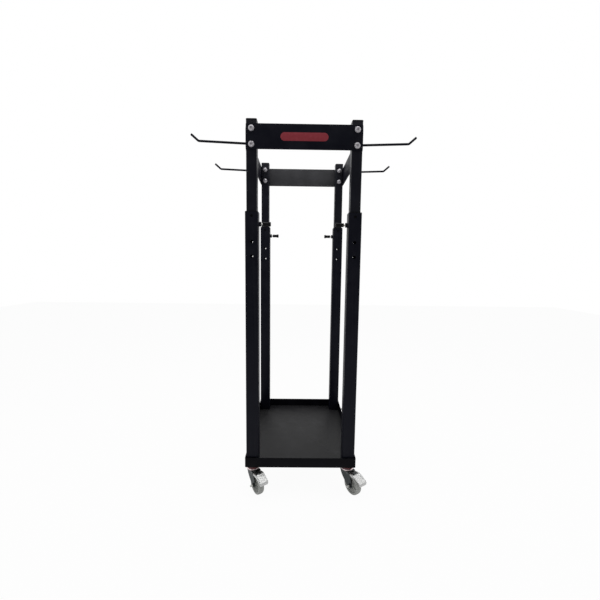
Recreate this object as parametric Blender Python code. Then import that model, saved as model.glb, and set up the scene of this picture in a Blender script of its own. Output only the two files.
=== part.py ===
"""Mat storage cart: a wheeled steel tray, four telescopic posts and four mat hooks.

Units are metres and +Z is up. The front faces -Y, and the origin lies on the floor
under the middle of the cart. The upper frame (slide tubes, plates, hooks, caps and
bolts) is drawn fully raised, with the four lock pins drawn back.
"""
import math

import bmesh
import bpy
from mathutils import Matrix, Vector

# Overall sizes
CART_WIDTH = 0.440
CART_DEPTH = 0.580
CART_HEIGHT = 1.460
CLEARANCE = 0.0003

# Tray
TRAY_SHEET = 0.002
TRAY_LIP_HEIGHT = 0.042
TRAY_MARGIN = 0.003
TRAY_CORNER = 0.005
TRAY_DOUBLER = 0.001

# Outer posts and the tubes that slide in them
POST_SIDE = 0.050
POST_WALL = 0.0025
POST_TOP = 1.125
POST_CORNER = 0.004
POST_FOOT = 0.005
SLIDE_ROOM = 0.0025
SLIDE_WALL = 0.002
SLIDE_OVERLAP = 0.085
SPARE_HOLE = 0.012
SPARE_HOLE_DROP = 0.110
SPARE_HOLE_PITCH = 0.055

# Guide bushes and post caps
BUSH_LENGTH = 0.030
BUSH_FLANGE = 0.002
BUSH_PEG = 0.010
BUSH_PEG_DROP = 0.015
CAP_THICKNESS = 0.004
CAP_PLUG = 0.015

# Height locks
LOCK_DROP = 0.043
LOCK_PITCH = 0.060
LOCK_STEPS = 3
PIN_DIAMETER = 0.008
PIN_STANDOFF = 0.0005
BOSS_DIAMETER = 0.018
BOSS_LENGTH = 0.009
KNOB_GAP = 0.006
KNOB_LENGTH = 0.031
KNOB_DIAMETER = 0.018

# Upper frame plates and their bolts
PLATE_THICKNESS = 0.003
PLATE_HEIGHT = 0.090
PLATE_DROP = 0.020
SIDE_PLATE_SETBACK = 0.012
SIDE_PLATE_CORNER = 0.008
BOLT_DIAMETER = 0.010
BOLT_HEAD = 0.022
BOLT_SPACING = 0.056

# Hooks
HOOK_DIAMETER = 0.008
HOOK_INSET = 0.098
HOOK_REACH = 0.1995
HOOK_SLOPE = math.radians(2.2)
HOOK_RISE = math.radians(41.0)
HOOK_TIP = 0.0385
HOOK_BEND_RADIUS = 0.012
HOOK_ABOVE_MIDDLE = 0.006

# Castors
CASTOR_HEIGHT = 0.108
CASTOR_TRAIL = 0.036
CASTOR_ANGLE = math.radians(56.0)
WHEEL_DIAMETER = 0.080
WHEEL_WIDTH = 0.024
FORK_INSIDE = 0.030
FORK_SHEET = 0.0025
CROWN_DROP = 0.013
CROWN_RADIUS = 0.024
STEM_DIAMETER = 0.012
STEM_LENGTH = 0.026
KINGPIN_DIAMETER = 0.010
AXLE_DIAMETER = 0.008
AXLE_END = 0.014
TRUNNION_DIAMETER = 0.005
PEDAL_SHEET = 0.0025
PEDAL_WIDTH = 0.038
PEDAL_LENGTH = 0.045
PEDAL_NECK = 0.0406
PEDAL_RISE = 0.007

# Worked out from the sizes above
HALF_WIDTH = CART_WIDTH / 2
HALF_DEPTH = CART_DEPTH / 2
POST_X = HALF_WIDTH - POST_SIDE / 2
POST_Y = HALF_DEPTH - POST_SIDE / 2
POST_BORE = POST_SIDE - 2 * POST_WALL
DECK_Z = CASTOR_HEIGHT + TRAY_SHEET
POST_BOTTOM = DECK_Z + TRAY_DOUBLER + CLEARANCE
SLIDE_SIDE = POST_BORE - 2 * SLIDE_ROOM
SLIDE_TOP = CART_HEIGHT - CAP_THICKNESS - CLEARANCE
SLIDE_BOTTOM = POST_TOP - SLIDE_OVERLAP
SLIDE_X = POST_X + SLIDE_SIDE / 2
SLIDE_Y = POST_Y + SLIDE_SIDE / 2
PLATE_TOP = CART_HEIGHT - PLATE_DROP
PLATE_Z = PLATE_TOP - PLATE_HEIGHT / 2
LOCK_Z = POST_TOP - LOCK_DROP
AXLE_Z = WHEEL_DIAMETER / 2
CROWN_TOP = CASTOR_HEIGHT - CROWN_DROP
CROWN_BOTTOM = CROWN_TOP - FORK_SHEET - 0.0005
PIVOT_X = CASTOR_TRAIL * 0.4
PIVOT_Z = CROWN_BOTTOM - 0.008

CORNERS = {
    "front_left": (-1, -1),
    "front_right": (1, -1),
    "back_left": (-1, 1),
    "back_right": (1, 1),
}
ROUND_SIDES = 20
SMALL_SIDES = 14
HOLE_SIDES = 12
HEX_SIDES = 12
TREAD_SIDES = 24


def clear_scene():
    """Remove every object of the start-up scene."""
    for obj in list(bpy.data.objects):
        bpy.data.objects.remove(obj, do_unlink=True)


def material(name, rgb, metallic, roughness):
    """Return the named Principled material, made on first use."""
    found = bpy.data.materials.get(name)
    if found:
        return found
    made = bpy.data.materials.new(name)
    made.use_nodes = True
    shader = made.node_tree.nodes["Principled BSDF"]
    shader.inputs["Base Color"].default_value = (*rgb, 1.0)
    shader.inputs["Metallic"].default_value = metallic
    shader.inputs["Roughness"].default_value = roughness
    made.diffuse_color = (*rgb, 1.0)
    return made


def black_coat():
    """Black powder coat on steel."""
    return material("black_powder_coat", (0.012, 0.012, 0.016), 0.0, 0.45)


def zinc():
    """Bright zinc plate."""
    return material("bright_zinc", (0.62, 0.62, 0.60), 1.0, 0.30)


def fork_zinc():
    """Dull grey zinc of the castor forks."""
    return material("grey_zinc", (0.10, 0.11, 0.11), 0.8, 0.40)


def black_plastic():
    """Moulded black plastic."""
    return material("black_plastic", (0.015, 0.015, 0.016), 0.0, 0.55)


def grey_tyre():
    """Grey-green thermoplastic wheel."""
    return material("grey_tyre", (0.17, 0.19, 0.18), 0.0, 0.60)


def add_object(name, skin, finish):
    """Turn a bmesh into a named object with one material."""
    mesh = bpy.data.meshes.new(name)
    skin.to_mesh(mesh)
    skin.free()
    mesh.materials.append(finish)
    obj = bpy.data.objects.new(name, mesh)
    bpy.context.scene.collection.objects.link(obj)
    return obj


def rect_ring(half_x, half_y, z, radius, steps=2):
    """Points of a rounded rectangle at height z, counter-clockwise."""
    points = []
    for quarter, (sx, sy) in enumerate(((1, 1), (-1, 1), (-1, -1), (1, -1))):
        centre = Vector((sx * (half_x - radius), sy * (half_y - radius), z))
        for step in range(steps + 1):
            turn = (quarter + step / steps) * math.pi / 2
            points.append(centre + radius * Vector((math.cos(turn), math.sin(turn), 0)))
    return points


def round_ring(radius, z, sides=ROUND_SIDES):
    """Points of a circle about Z at height z."""
    turns = [2 * math.pi * i / sides for i in range(sides)]
    return [Vector((radius * math.cos(t), radius * math.sin(t), z)) for t in turns]


def hex_ring(across_flats, z, sides=HEX_SIDES):
    """Points of a hexagon about Z, as many as a round ring has."""
    points = []
    for i in range(sides):
        turn = 2 * math.pi * i / sides
        from_flat = (turn + math.pi / 6) % (math.pi / 3) - math.pi / 6
        reach = across_flats / 2 / math.cos(from_flat)
        points.append(Vector((reach * math.cos(turn), reach * math.sin(turn), z)))
    return points


def loft(rings, closed=False):
    """Skin a row of equal rings; closed joins the last to the first, else both ends are capped."""
    skin = bmesh.new()
    loops = [[skin.verts.new(point) for point in ring] for ring in rings]
    pairs = list(zip(loops, loops[1:]))
    if closed:
        pairs.append((loops[-1], loops[0]))
    for low, high in pairs:
        for i in range(len(low)):
            j = (i + 1) % len(low)
            skin.faces.new((low[i], low[j], high[j], high[i]))
    if not closed:
        skin.faces.new(list(reversed(loops[0])))
        skin.faces.new(loops[-1])
    bmesh.ops.recalc_face_normals(skin, faces=skin.faces)
    return skin


def moved(skin, matrix):
    """Transform a skin in place and return it with outward normals."""
    bmesh.ops.transform(skin, matrix=matrix, verts=skin.verts)
    bmesh.ops.recalc_face_normals(skin, faces=skin.faces)
    return skin


def along_x(sign=1):
    """Matrix that turns the Z axis to +X or -X."""
    return Matrix.Rotation(sign * math.pi / 2, 4, "Y")


def along_y(sign=1):
    """Matrix that turns the Z axis to +Y or -Y."""
    return Matrix.Rotation(-sign * math.pi / 2, 4, "X")


def rod(radius, length, matrix, sides=HOLE_SIDES):
    """A plain cylinder centred on its length, used as a tool or a pin."""
    skin = loft([round_ring(radius, -length / 2, sides), round_ring(radius, length / 2, sides)])
    return moved(skin, matrix)


def prism(outline, low, high):
    """A flat outline in X and Z, given depth along Y from low to high."""
    return loft([[Vector((x, y, z)) for x, z in outline] for y in (low, high)])


def combine(obj, skins, operation):
    """Join solids to an object or cut them from it with exact booleans."""
    tool = add_object("tool", joined(skins), obj.data.materials[0])
    tool.hide_render = True
    tool.display_type = "WIRE"
    step = obj.modifiers.new("step", "BOOLEAN")
    step.operation = operation
    step.solver = "EXACT"
    step.object = tool
    graph = bpy.context.evaluated_depsgraph_get()
    mesh = bpy.data.meshes.new_from_object(obj.evaluated_get(graph))
    obj.modifiers.clear()
    obj.data = mesh
    bpy.data.objects.remove(tool, do_unlink=True)
    return tidy(obj)


def joined(skins):
    """Gather separate solids that don't touch each other into one skin."""
    whole = bmesh.new()
    for skin in skins:
        mesh = bpy.data.meshes.new("part_of_tool")
        skin.to_mesh(mesh)
        skin.free()
        whole.from_mesh(mesh)
        bpy.data.meshes.remove(mesh)
    return whole


def tidy(obj):
    """Merge stray points left by a boolean and keep the normals outward."""
    skin = bmesh.new()
    skin.from_mesh(obj.data)
    bmesh.ops.remove_doubles(skin, verts=skin.verts, dist=0.00001)
    bmesh.ops.triangulate(skin, faces=skin.faces)
    bmesh.ops.recalc_face_normals(skin, faces=skin.faces)
    skin.to_mesh(obj.data)
    skin.free()
    return obj


def square_tube(half, wall, bottom, top, corner):
    """A square hollow section about Z."""
    inner = half - wall
    bore_corner = max(corner - wall, 0.001)
    rings = [
        rect_ring(half, half, bottom, corner),
        rect_ring(half, half, top, corner),
        rect_ring(inner, inner, top, bore_corner),
        rect_ring(inner, inner, bottom, bore_corner),
    ]
    return loft(rings, closed=True)


def at_post(corner):
    """Matrix from the post's own axis to its place in the cart."""
    sx, sy = CORNERS[corner]
    return Matrix.Translation((sx * POST_X, sy * POST_Y, 0))


def base_tray():
    """Folded steel tray with a turned-up lip, thickened corners and holes for the castor stems."""
    inside_x = HALF_WIDTH + TRAY_MARGIN
    inside_y = HALF_DEPTH + TRAY_MARGIN
    bend = TRAY_SHEET
    top = CASTOR_HEIGHT + TRAY_LIP_HEIGHT
    rings = []
    for turn in (0.0, math.pi / 4, math.pi / 2):
        grow = TRAY_SHEET - bend * (1 - math.sin(turn))
        z = CASTOR_HEIGHT + bend * (1 - math.cos(turn))
        rings.append(rect_ring(inside_x + grow, inside_y + grow, z, TRAY_CORNER))
    rings.append(rect_ring(inside_x + TRAY_SHEET, inside_y + TRAY_SHEET, top, TRAY_CORNER))
    rings.append(rect_ring(inside_x, inside_y, top, TRAY_CORNER - TRAY_SHEET))
    rings.append(rect_ring(inside_x, inside_y, DECK_Z, TRAY_CORNER - TRAY_SHEET))
    tray = add_object("base_tray", loft(rings), black_coat())
    half = POST_SIDE / 2 + TRAY_MARGIN + TRAY_SHEET / 4
    low = DECK_Z - TRAY_SHEET / 2
    doublers = []
    for corner in CORNERS:
        sides = [rect_ring(half, half, z, 0.001) for z in (low, DECK_Z + TRAY_DOUBLER)]
        doublers.append(moved(loft(sides), at_post(corner)))
    combine(tray, doublers, "UNION")
    radius = STEM_DIAMETER / 2 + CLEARANCE
    holes = [rod(radius, 0.02, at_post(c) @ Matrix.Translation((0, 0, DECK_Z))) for c in CORNERS]
    return combine(tray, holes, "DIFFERENCE")


def post(corner):
    """Outer post: square tube with a foot plate, spare holes and a boss for the lock pin."""
    sx = CORNERS[corner][0]
    half = POST_SIDE / 2
    tube = square_tube(half, POST_WALL, POST_BOTTOM, POST_TOP, POST_CORNER)
    obj = add_object("post_" + corner, tube, black_coat())
    foot_half = half - POST_WALL / 2
    foot_low = POST_BOTTOM + 0.001
    foot = loft([rect_ring(foot_half, foot_half, z, 0.002) for z in (foot_low, foot_low + POST_FOOT)])
    boss_middle = half - POST_WALL / 2 + (BOSS_LENGTH + POST_WALL / 2) / 2
    boss_place = Matrix.Translation((-sx * boss_middle, 0, LOCK_Z)) @ along_x()
    boss = rod(BOSS_DIAMETER / 2, BOSS_LENGTH + POST_WALL / 2, boss_place)
    combine(obj, [foot, boss], "UNION")
    through = POST_SIDE * 1.5
    holes = [rod(STEM_DIAMETER / 2 + CLEARANCE, 0.03, Matrix.Translation((0, 0, POST_BOTTOM)))]
    pin_middle = half + BOSS_LENGTH / 2
    pin_place = Matrix.Translation((-sx * pin_middle, 0, LOCK_Z)) @ along_x()
    holes.append(rod(PIN_DIAMETER / 2 + CLEARANCE, BOSS_LENGTH + 4 * POST_WALL, pin_place))
    peg_place = Matrix.Translation((0, 0, POST_TOP - BUSH_PEG_DROP)) @ along_y()
    holes.append(rod(BUSH_PEG / 2 + CLEARANCE, through, peg_place))
    for step in range(2):
        z = POST_TOP - SPARE_HOLE_DROP - step * SPARE_HOLE_PITCH
        place = Matrix.Translation((0, 0, z)) @ along_y()
        holes.append(rod(SPARE_HOLE / 2, through, place, SMALL_SIDES))
    combine(obj, holes, "DIFFERENCE")
    obj.data.transform(at_post(corner))
    return obj


def slide_tube(corner):
    """Inner tube with bolt holes at the top and a row of lock holes."""
    sx = CORNERS[corner][0]
    half = SLIDE_SIDE / 2
    tube = square_tube(half, SLIDE_WALL, SLIDE_BOTTOM, SLIDE_TOP, 0.003)
    obj = add_object("slide_tube_" + corner, tube, black_coat())
    holes = []
    for step in range(LOCK_STEPS + 1):
        z = LOCK_Z + step * LOCK_PITCH
        place = Matrix.Translation((-sx * half, 0, z)) @ along_x()
        holes.append(rod(PIN_DIAMETER / 2 + 2 * CLEARANCE, 3 * SLIDE_WALL, place))
    for z in bolt_heights():
        place = Matrix.Translation((0, 0, z)) @ along_y()
        holes.append(rod(BOLT_DIAMETER / 2 + CLEARANCE, 1.5 * SLIDE_SIDE, place))
    combine(obj, holes, "DIFFERENCE")
    obj.data.transform(at_post(corner))
    return obj


def bolt_heights():
    """Heights of the lower and the upper bolt of each plate end."""
    return PLATE_Z - BOLT_SPACING / 2, PLATE_Z + BOLT_SPACING / 2


def guide_bush(corner):
    """Plastic sleeve in the top of a post, with a flange on top and two snap pegs."""
    outer = POST_BORE / 2 - CLEARANCE
    inner = SLIDE_SIDE / 2 + CLEARANCE
    rim = POST_SIDE / 2 - 0.0005
    seat = POST_TOP + CLEARANCE
    rings = [
        rect_ring(outer, outer, POST_TOP - BUSH_LENGTH, 0.0015),
        rect_ring(outer, outer, seat, 0.0015),
        rect_ring(rim, rim, seat, POST_CORNER),
        rect_ring(rim, rim, seat + BUSH_FLANGE * 0.6, POST_CORNER),
        rect_ring(rim - 0.0008, rim - 0.0008, seat + BUSH_FLANGE, POST_CORNER),
        rect_ring(inner, inner, seat + BUSH_FLANGE, 0.003),
        rect_ring(inner, inner, POST_TOP - BUSH_LENGTH, 0.003),
    ]
    obj = add_object("guide_bush_" + corner, loft(rings, closed=True), black_plastic())
    middle = (inner + outer) / 2
    reach = POST_SIDE / 2 - 0.0002 - middle
    pegs = []
    for side in (-1, 1):
        y = side * (middle + reach / 2)
        place = Matrix.Translation((0, y, POST_TOP - BUSH_PEG_DROP)) @ along_y()
        pegs.append(rod(BUSH_PEG / 2, reach, place))
    combine(obj, pegs, "UNION")
    obj.data.transform(at_post(corner))
    return obj


def post_cap(corner):
    """Plastic cap with a hollow plug, pushed into the top of a slide tube."""
    flange = SLIDE_SIDE / 2
    plug = flange - SLIDE_WALL - CLEARANCE
    hollow = plug - 0.002
    seat = SLIDE_TOP + CLEARANCE
    top = CART_HEIGHT
    rings = [
        rect_ring(hollow, hollow, seat, 0.001),
        rect_ring(hollow, hollow, SLIDE_TOP - CAP_PLUG, 0.001),
        rect_ring(plug, plug, SLIDE_TOP - CAP_PLUG, 0.001),
        rect_ring(plug, plug, seat, 0.001),
        rect_ring(flange, flange, seat, 0.003),
        rect_ring(flange, flange, top - 0.002, 0.003),
        rect_ring(flange - 0.0006, flange - 0.0006, top - 0.0006, 0.003),
        rect_ring(flange - 0.002, flange - 0.002, top, 0.003),
    ]
    obj = add_object("post_cap_" + corner, loft(rings), black_plastic())
    obj.data.transform(at_post(corner))
    return obj


def cross_plate(name, sy):
    """Front or back plate, bolted across the slide tubes at their outer face."""
    inner = SLIDE_Y + CLEARANCE
    half_z = PLATE_HEIGHT / 2
    bevel = 0.0006
    steps = ((bevel, 0.0), (0.0, bevel), (0.0, PLATE_THICKNESS - bevel), (bevel, PLATE_THICKNESS))
    rings = [rect_ring(SLIDE_X - b, half_z - b, z, 0.003) for b, z in steps]
    place = Matrix.Translation((0, sy * inner, PLATE_Z)) @ along_y(sy)
    obj = add_object(name, moved(loft(rings), place), black_coat())
    holes = []
    for sx in (-1, 1):
        for z in bolt_heights():
            hole_place = Matrix.Translation((sx * POST_X, sy * inner, z)) @ along_y()
            holes.append(rod(BOLT_DIAMETER / 2 + CLEARANCE, 4 * PLATE_THICKNESS, hole_place))
    return combine(obj, holes, "DIFFERENCE")


def side_plate(name, sx):
    """Side plate between the front and back slide tubes, with two holes for the hooks."""
    half_y = SLIDE_Y - SIDE_PLATE_SETBACK
    inner = SLIDE_X + CLEARANCE
    bevel = 0.0006
    steps = ((bevel, 0.0), (0.0, bevel), (0.0, PLATE_THICKNESS - bevel), (bevel, PLATE_THICKNESS))
    half_z = PLATE_HEIGHT / 2
    rings = [rect_ring(half_z - b, half_y - b, z, SIDE_PLATE_CORNER) for b, z in steps]
    place = Matrix.Translation((sx * inner, 0, PLATE_Z)) @ along_x(sx)
    obj = add_object(name, moved(loft(rings), place), black_coat())
    holes = []
    for sy in (-1, 1):
        root = Vector((sx * (inner + PLATE_THICKNESS / 2), sy * hook_y(), hook_root_z()))
        hole_place = Matrix.Translation(root) @ along_x(sx)
        holes.append(rod(HOOK_DIAMETER / 2 + 2 * CLEARANCE, 4 * PLATE_THICKNESS, hole_place))
    return combine(obj, holes, "DIFFERENCE")


def hook_y():
    """Distance of a hook from the middle of the cart."""
    return HALF_DEPTH - HOOK_INSET


def hook_root_z():
    """Height of a hook where it leaves the side plate."""
    return PLATE_Z + HOOK_ABOVE_MIDDLE


def hook_path():
    """Centre line of a hook as (distance outward, height, direction) stations."""
    start = SLIDE_X + CLEARANCE + 0.0005
    root = Vector((start, hook_root_z()))
    run = Vector((math.cos(HOOK_SLOPE), math.sin(HOOK_SLOPE)))
    tip = Vector((math.cos(HOOK_RISE), math.sin(HOOK_RISE)))
    corner = root + run * HOOK_REACH
    trim = HOOK_BEND_RADIUS * math.tan((HOOK_RISE - HOOK_SLOPE) / 2)
    centre = corner - run * trim + HOOK_BEND_RADIUS * Vector((-run.y, run.x))
    stations = [(root, HOOK_SLOPE)]
    steps = 4
    for step in range(steps + 1):
        turn = HOOK_SLOPE + (HOOK_RISE - HOOK_SLOPE) * step / steps
        point = centre + HOOK_BEND_RADIUS * Vector((math.sin(turn), -math.cos(turn)))
        stations.append((point, turn))
    stations.append((corner + tip * HOOK_TIP, HOOK_RISE))
    return stations


def hook(corner):
    """Bent steel rod on a side plate, with a weld collar at its root."""
    sx, sy = CORNERS[corner]
    radius = HOOK_DIAMETER / 2
    stations = hook_path()
    root, slope = stations[0]
    run = Vector((math.cos(slope), math.sin(slope)))
    face = PLATE_THICKNESS + CLEARANCE
    collar = 0.003
    row = [(root, slope, radius)]
    row.append((root + run * face, slope, radius))
    row.append((root + run * (face + 0.0002), slope, radius + 0.0025))
    row.append((root + run * (face + collar), slope, radius))
    row += [(point, turn, radius) for point, turn in stations[1:-1]]
    end, rise = stations[-1]
    direction = Vector((math.cos(rise), math.sin(rise)))
    row.append((end - direction * 0.001, rise, radius))
    row.append((end, rise, radius - 0.001))
    rings = []
    for point, turn, size in row:
        up = Vector((-math.sin(turn), math.cos(turn)))
        ring = []
        for i in range(HOLE_SIDES):
            angle = 2 * math.pi * i / HOLE_SIDES
            flat = point + up * (size * math.sin(angle))
            ring.append(Vector((sx * flat.x, sy * hook_y() + size * math.cos(angle), flat.y)))
        rings.append(ring)
    return add_object("hook_" + corner, loft(rings), black_coat())


def plate_bolt(corner, level, z):
    """Bolt through plate and slide tube, with a domed head, two washers and a domed nut."""
    sx, sy = CORNERS[corner]
    shank = BOLT_DIAMETER / 2
    head = BOLT_HEAD / 2
    outer = SLIDE_Y + CLEARANCE + PLATE_THICKNESS + CLEARANCE
    inner = SLIDE_Y - SLIDE_SIDE - CLEARANCE
    washer = 0.002
    dome = 0.007
    stations = [
        (head * 0.35, inner - washer - dome),
        (head * 0.75, inner - washer - dome * 0.7),
        (head * 0.86, inner - washer),
        (head, inner - washer),
        (head, inner),
        (shank, inner),
        (shank, outer),
        (head, outer),
        (head, outer + washer),
        (head * 0.78, outer + washer + dome * 0.5),
        (head * 0.30, outer + washer + dome * 0.9),
    ]
    rings = [round_ring(radius, y, SMALL_SIDES) for radius, y in stations]
    place = Matrix.Translation((sx * POST_X, 0, z)) @ along_y(sy)
    return add_object(f"plate_bolt_{corner}_{level}", moved(loft(rings), place), zinc())


def lock_plunger(corner):
    """Pull knob and lock pin in one, drawn back so that the pin just clears the slide tube."""
    sx, sy = CORNERS[corner]
    pin = PIN_DIAMETER / 2
    knob = KNOB_DIAMETER / 2
    tip = -(POST_SIDE - SLIDE_SIDE) / 2 + PIN_STANDOFF
    base = BOSS_LENGTH + KNOB_GAP
    end = base + KNOB_LENGTH
    stations = [
        (pin - 0.0012, tip),
        (pin, tip + 0.0015),
        (pin, base),
        (knob * 0.66, base),
        (knob * 0.72, base + KNOB_LENGTH * 0.35),
        (knob * 0.96, base + KNOB_LENGTH * 0.65),
        (knob, base + KNOB_LENGTH * 0.85),
        (knob * 0.78, end),
    ]
    rings = [round_ring(radius, x, SMALL_SIDES) for radius, x in stations]
    face = sx * (HALF_WIDTH - POST_SIDE)
    place = Matrix.Translation((face, sy * POST_Y, LOCK_Z)) @ along_x(-sx)
    return add_object("lock_plunger_" + corner, moved(loft(rings), place), black_plastic())


def at_castor(corner):
    """Matrix from the castor's own frame, trailing along +X, to its place in the cart."""
    return at_post(corner) @ Matrix.Rotation(CORNERS[corner][1] * CASTOR_ANGLE, 4, "Z")


def castor_head(corner):
    """Fixed swivel head: stem into the post foot, bearing plate, seal ring and kingpin."""
    kingpin = KINGPIN_DIAMETER / 2
    top = CASTOR_HEIGHT - CLEARANCE
    seal = CROWN_TOP + CLEARANCE
    rivet = CROWN_BOTTOM - CLEARANCE
    middle = seal + (top - seal) * 0.45
    stations = [
        (kingpin * 1.2, rivet - 0.0025),
        (kingpin * 1.6, rivet),
        (kingpin, rivet),
        (kingpin, seal),
        (CROWN_RADIUS * 0.92, seal),
        (CROWN_RADIUS * 0.96, middle),
        (CROWN_RADIUS * 1.08, middle),
        (CROWN_RADIUS * 1.08, top),
        (STEM_DIAMETER / 2, top),
        (STEM_DIAMETER / 2 - 0.001, top + STEM_LENGTH),
    ]
    rings = [round_ring(radius, z) for radius, z in stations]
    return add_object("castor_head_" + corner, moved(loft(rings), at_castor(corner)), fork_zinc())


def fork_cheek():
    """Outline of a fork cheek in X and Z: wide at the crown and round about the axle."""
    hub = WHEEL_DIAMETER * 0.15
    top = CROWN_TOP - 0.0005
    points = [(0.006, AXLE_Z + 0.006), (-0.013, AXLE_Z + 0.024), (-0.022, top - 0.010)]
    points += [(-0.022, top), (0.026, top), (0.030, top - 0.010)]
    for step in range(8):
        turn = math.pi * (0.05 - step / 7 * 0.74)
        x = CASTOR_TRAIL + hub * math.cos(turn)
        points.append((x, AXLE_Z + hub * math.sin(turn)))
    return points


def fork_crown():
    """Top plate of the fork: a half disc at the front that narrows to the cheeks."""
    half = FORK_INSIDE / 2 + FORK_SHEET
    points = []
    for step in range(13):
        turn = math.pi * (0.5 + step / 12)
        points.append((CROWN_RADIUS * math.cos(turn), CROWN_RADIUS * math.sin(turn)))
    points += [(0.025, -half), (0.028, -half + 0.003), (0.028, half - 0.003), (0.025, half)]
    return loft([[Vector((x, y, z)) for x, y in points] for z in (CROWN_BOTTOM, CROWN_TOP)])


def castor_fork(corner):
    """Pressed fork: crown with two cheeks, holes for kingpin, axle and pedal."""
    obj = add_object("castor_fork_" + corner, fork_crown(), fork_zinc())
    half = FORK_INSIDE / 2
    cheeks = []
    for side in (-1, 1):
        low, high = sorted((side * half, side * (half + FORK_SHEET)))
        cheeks.append(prism(fork_cheek(), low, high))
    combine(obj, cheeks, "UNION")
    width = 2 * FORK_INSIDE
    holes = [rod(KINGPIN_DIAMETER / 2 + CLEARANCE, 0.01, Matrix.Translation((0, 0, CROWN_TOP)))]
    axle_place = Matrix.Translation((CASTOR_TRAIL, 0, AXLE_Z)) @ along_y()
    holes.append(rod(AXLE_DIAMETER / 2 + CLEARANCE, width, axle_place))
    pivot_place = Matrix.Translation((PIVOT_X, 0, PIVOT_Z)) @ along_y()
    holes.append(rod(TRUNNION_DIAMETER / 2 + CLEARANCE, width, pivot_place))
    combine(obj, holes, "DIFFERENCE")
    obj.data.transform(at_castor(corner))
    return obj


def castor_wheel(corner):
    """Wheel with a rounded tread, dished sides and a hub as wide as the fork allows."""
    radius = WHEEL_DIAMETER / 2
    half = WHEEL_WIDTH / 2
    hub_half = FORK_INSIDE / 2 - CLEARANCE
    bore = AXLE_DIAMETER / 2 + CLEARANCE
    hub = bore + 0.004
    side = [
        (bore, hub_half),
        (hub, hub_half),
        (hub + 0.001, half * 0.55),
        (radius * 0.76, half * 0.60),
        (radius * 0.82, half),
        (radius * 0.94, half * 0.90),
        (radius, half * 0.40),
    ]
    profile = side + [(r, -y) for r, y in reversed(side)]
    rings = [round_ring(r, y, TREAD_SIDES) for r, y in profile]
    place = at_castor(corner) @ Matrix.Translation((CASTOR_TRAIL, 0, AXLE_Z)) @ along_y()
    skin = moved(loft(rings, closed=True), place)
    return add_object("castor_wheel_" + corner, skin, grey_tyre())


def castor_axle(corner):
    """Axle bolt through the fork, with a hexagon head and a nut short of its end."""
    shank = AXLE_DIAMETER / 2
    outer = FORK_INSIDE / 2 + FORK_SHEET + CLEARANCE
    flats = AXLE_DIAMETER * 1.62
    nut = outer + 0.0055
    tip = outer + AXLE_END
    rings = [
        round_ring(shank * 0.8, -tip, HEX_SIDES),
        round_ring(shank, 0.001 - tip, HEX_SIDES),
        round_ring(shank, -nut, HEX_SIDES),
        hex_ring(flats, -nut),
        hex_ring(flats, -outer),
        round_ring(shank, -outer, HEX_SIDES),
        round_ring(shank, outer, HEX_SIDES),
        hex_ring(flats, outer),
        hex_ring(flats, outer + 0.0045),
        round_ring(flats * 0.42, outer + 0.005, HEX_SIDES),
    ]
    place = at_castor(corner) @ Matrix.Translation((CASTOR_TRAIL, 0, AXLE_Z)) @ along_y()
    return add_object("castor_axle_" + corner, moved(loft(rings), place), zinc())


def pedal_plate():
    """Bent pedal strip: narrow between the cheeks, then wide and sloping over the wheel."""
    slim = FORK_INSIDE / 2 - 0.0015
    wide = PEDAL_WIDTH / 2
    slope = math.radians(22)
    knee = Vector((PIVOT_X + PEDAL_NECK, 0, PIVOT_Z + PEDAL_RISE))
    end = knee + PEDAL_LENGTH * Vector((math.cos(slope), 0, -math.sin(slope)))
    pivot = Vector((PIVOT_X, 0, PIVOT_Z))
    stations = [
        (pivot, slim, 0.0),
        (pivot.lerp(knee, 0.42), slim, 0.0),
        (pivot.lerp(knee, 0.50), wide, 0.0),
        (knee, wide, slope / 2),
        (knee.lerp(end, 0.92), wide, slope),
        (end, wide - 0.004, slope * 0.4),
    ]
    rings = []
    for point, half, lean in stations:
        up = Vector((math.sin(lean), 0, math.cos(lean))) * (PEDAL_SHEET / 2)
        side = Vector((0, half, 0))
        rings.append([point + side + up, point - side + up, point - side - up, point + side - up])
    return loft(rings)


def brake_pedal(corner):
    """Wheel brake pedal that turns on trunnions in the fork cheeks."""
    obj = add_object("brake_pedal_" + corner, pedal_plate(), zinc())
    barrel = FORK_INSIDE / 2 - CLEARANCE
    outer = FORK_INSIDE / 2 + FORK_SHEET
    pin = TRUNNION_DIAMETER / 2
    stations = ((pin, -outer), (pin, -barrel), (pin + 0.002, -barrel), (pin + 0.002, barrel))
    stations += ((pin, barrel), (pin, outer))
    hub = loft([round_ring(r, y, HOLE_SIDES) for r, y in stations])
    moved(hub, Matrix.Translation((PIVOT_X, 0, PIVOT_Z)) @ along_y())
    combine(obj, [hub], "UNION")
    obj.data.transform(at_castor(corner))
    return obj


def build():
    """Make every piece of the cart as its own object."""
    clear_scene()
    base_tray()
    cross_plate("front_plate", -1)
    cross_plate("back_plate", 1)
    side_plate("side_plate_left", -1)
    side_plate("side_plate_right", 1)
    for corner in CORNERS:
        post(corner)
        slide_tube(corner)
        guide_bush(corner)
        post_cap(corner)
        hook(corner)
        lock_plunger(corner)
        castor_head(corner)
        castor_fork(corner)
        castor_wheel(corner)
        castor_axle(corner)
        brake_pedal(corner)
        for level, z in zip(("lower", "upper"), bolt_heights()):
            plate_bolt(corner, level, z)


build()
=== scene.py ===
"""Mat storage cart: the dressed model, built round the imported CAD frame.

Each sub-assembly is a class. It reads its places from the CAD nodes, keeps its finer
sizes as fields, and builds finished meshes that ride on the CAD bodies. Lengths are in
metres; profiles, and names that end in _mm, are in millimetres. The front of the cart
faces -Y and +Z is up.
"""
import logging
import math
from collections.abc import Sequence
from dataclasses import dataclass
from enum import Enum
from typing import Any

import bmesh
import bpy
from mathutils import Matrix, Vector


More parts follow.
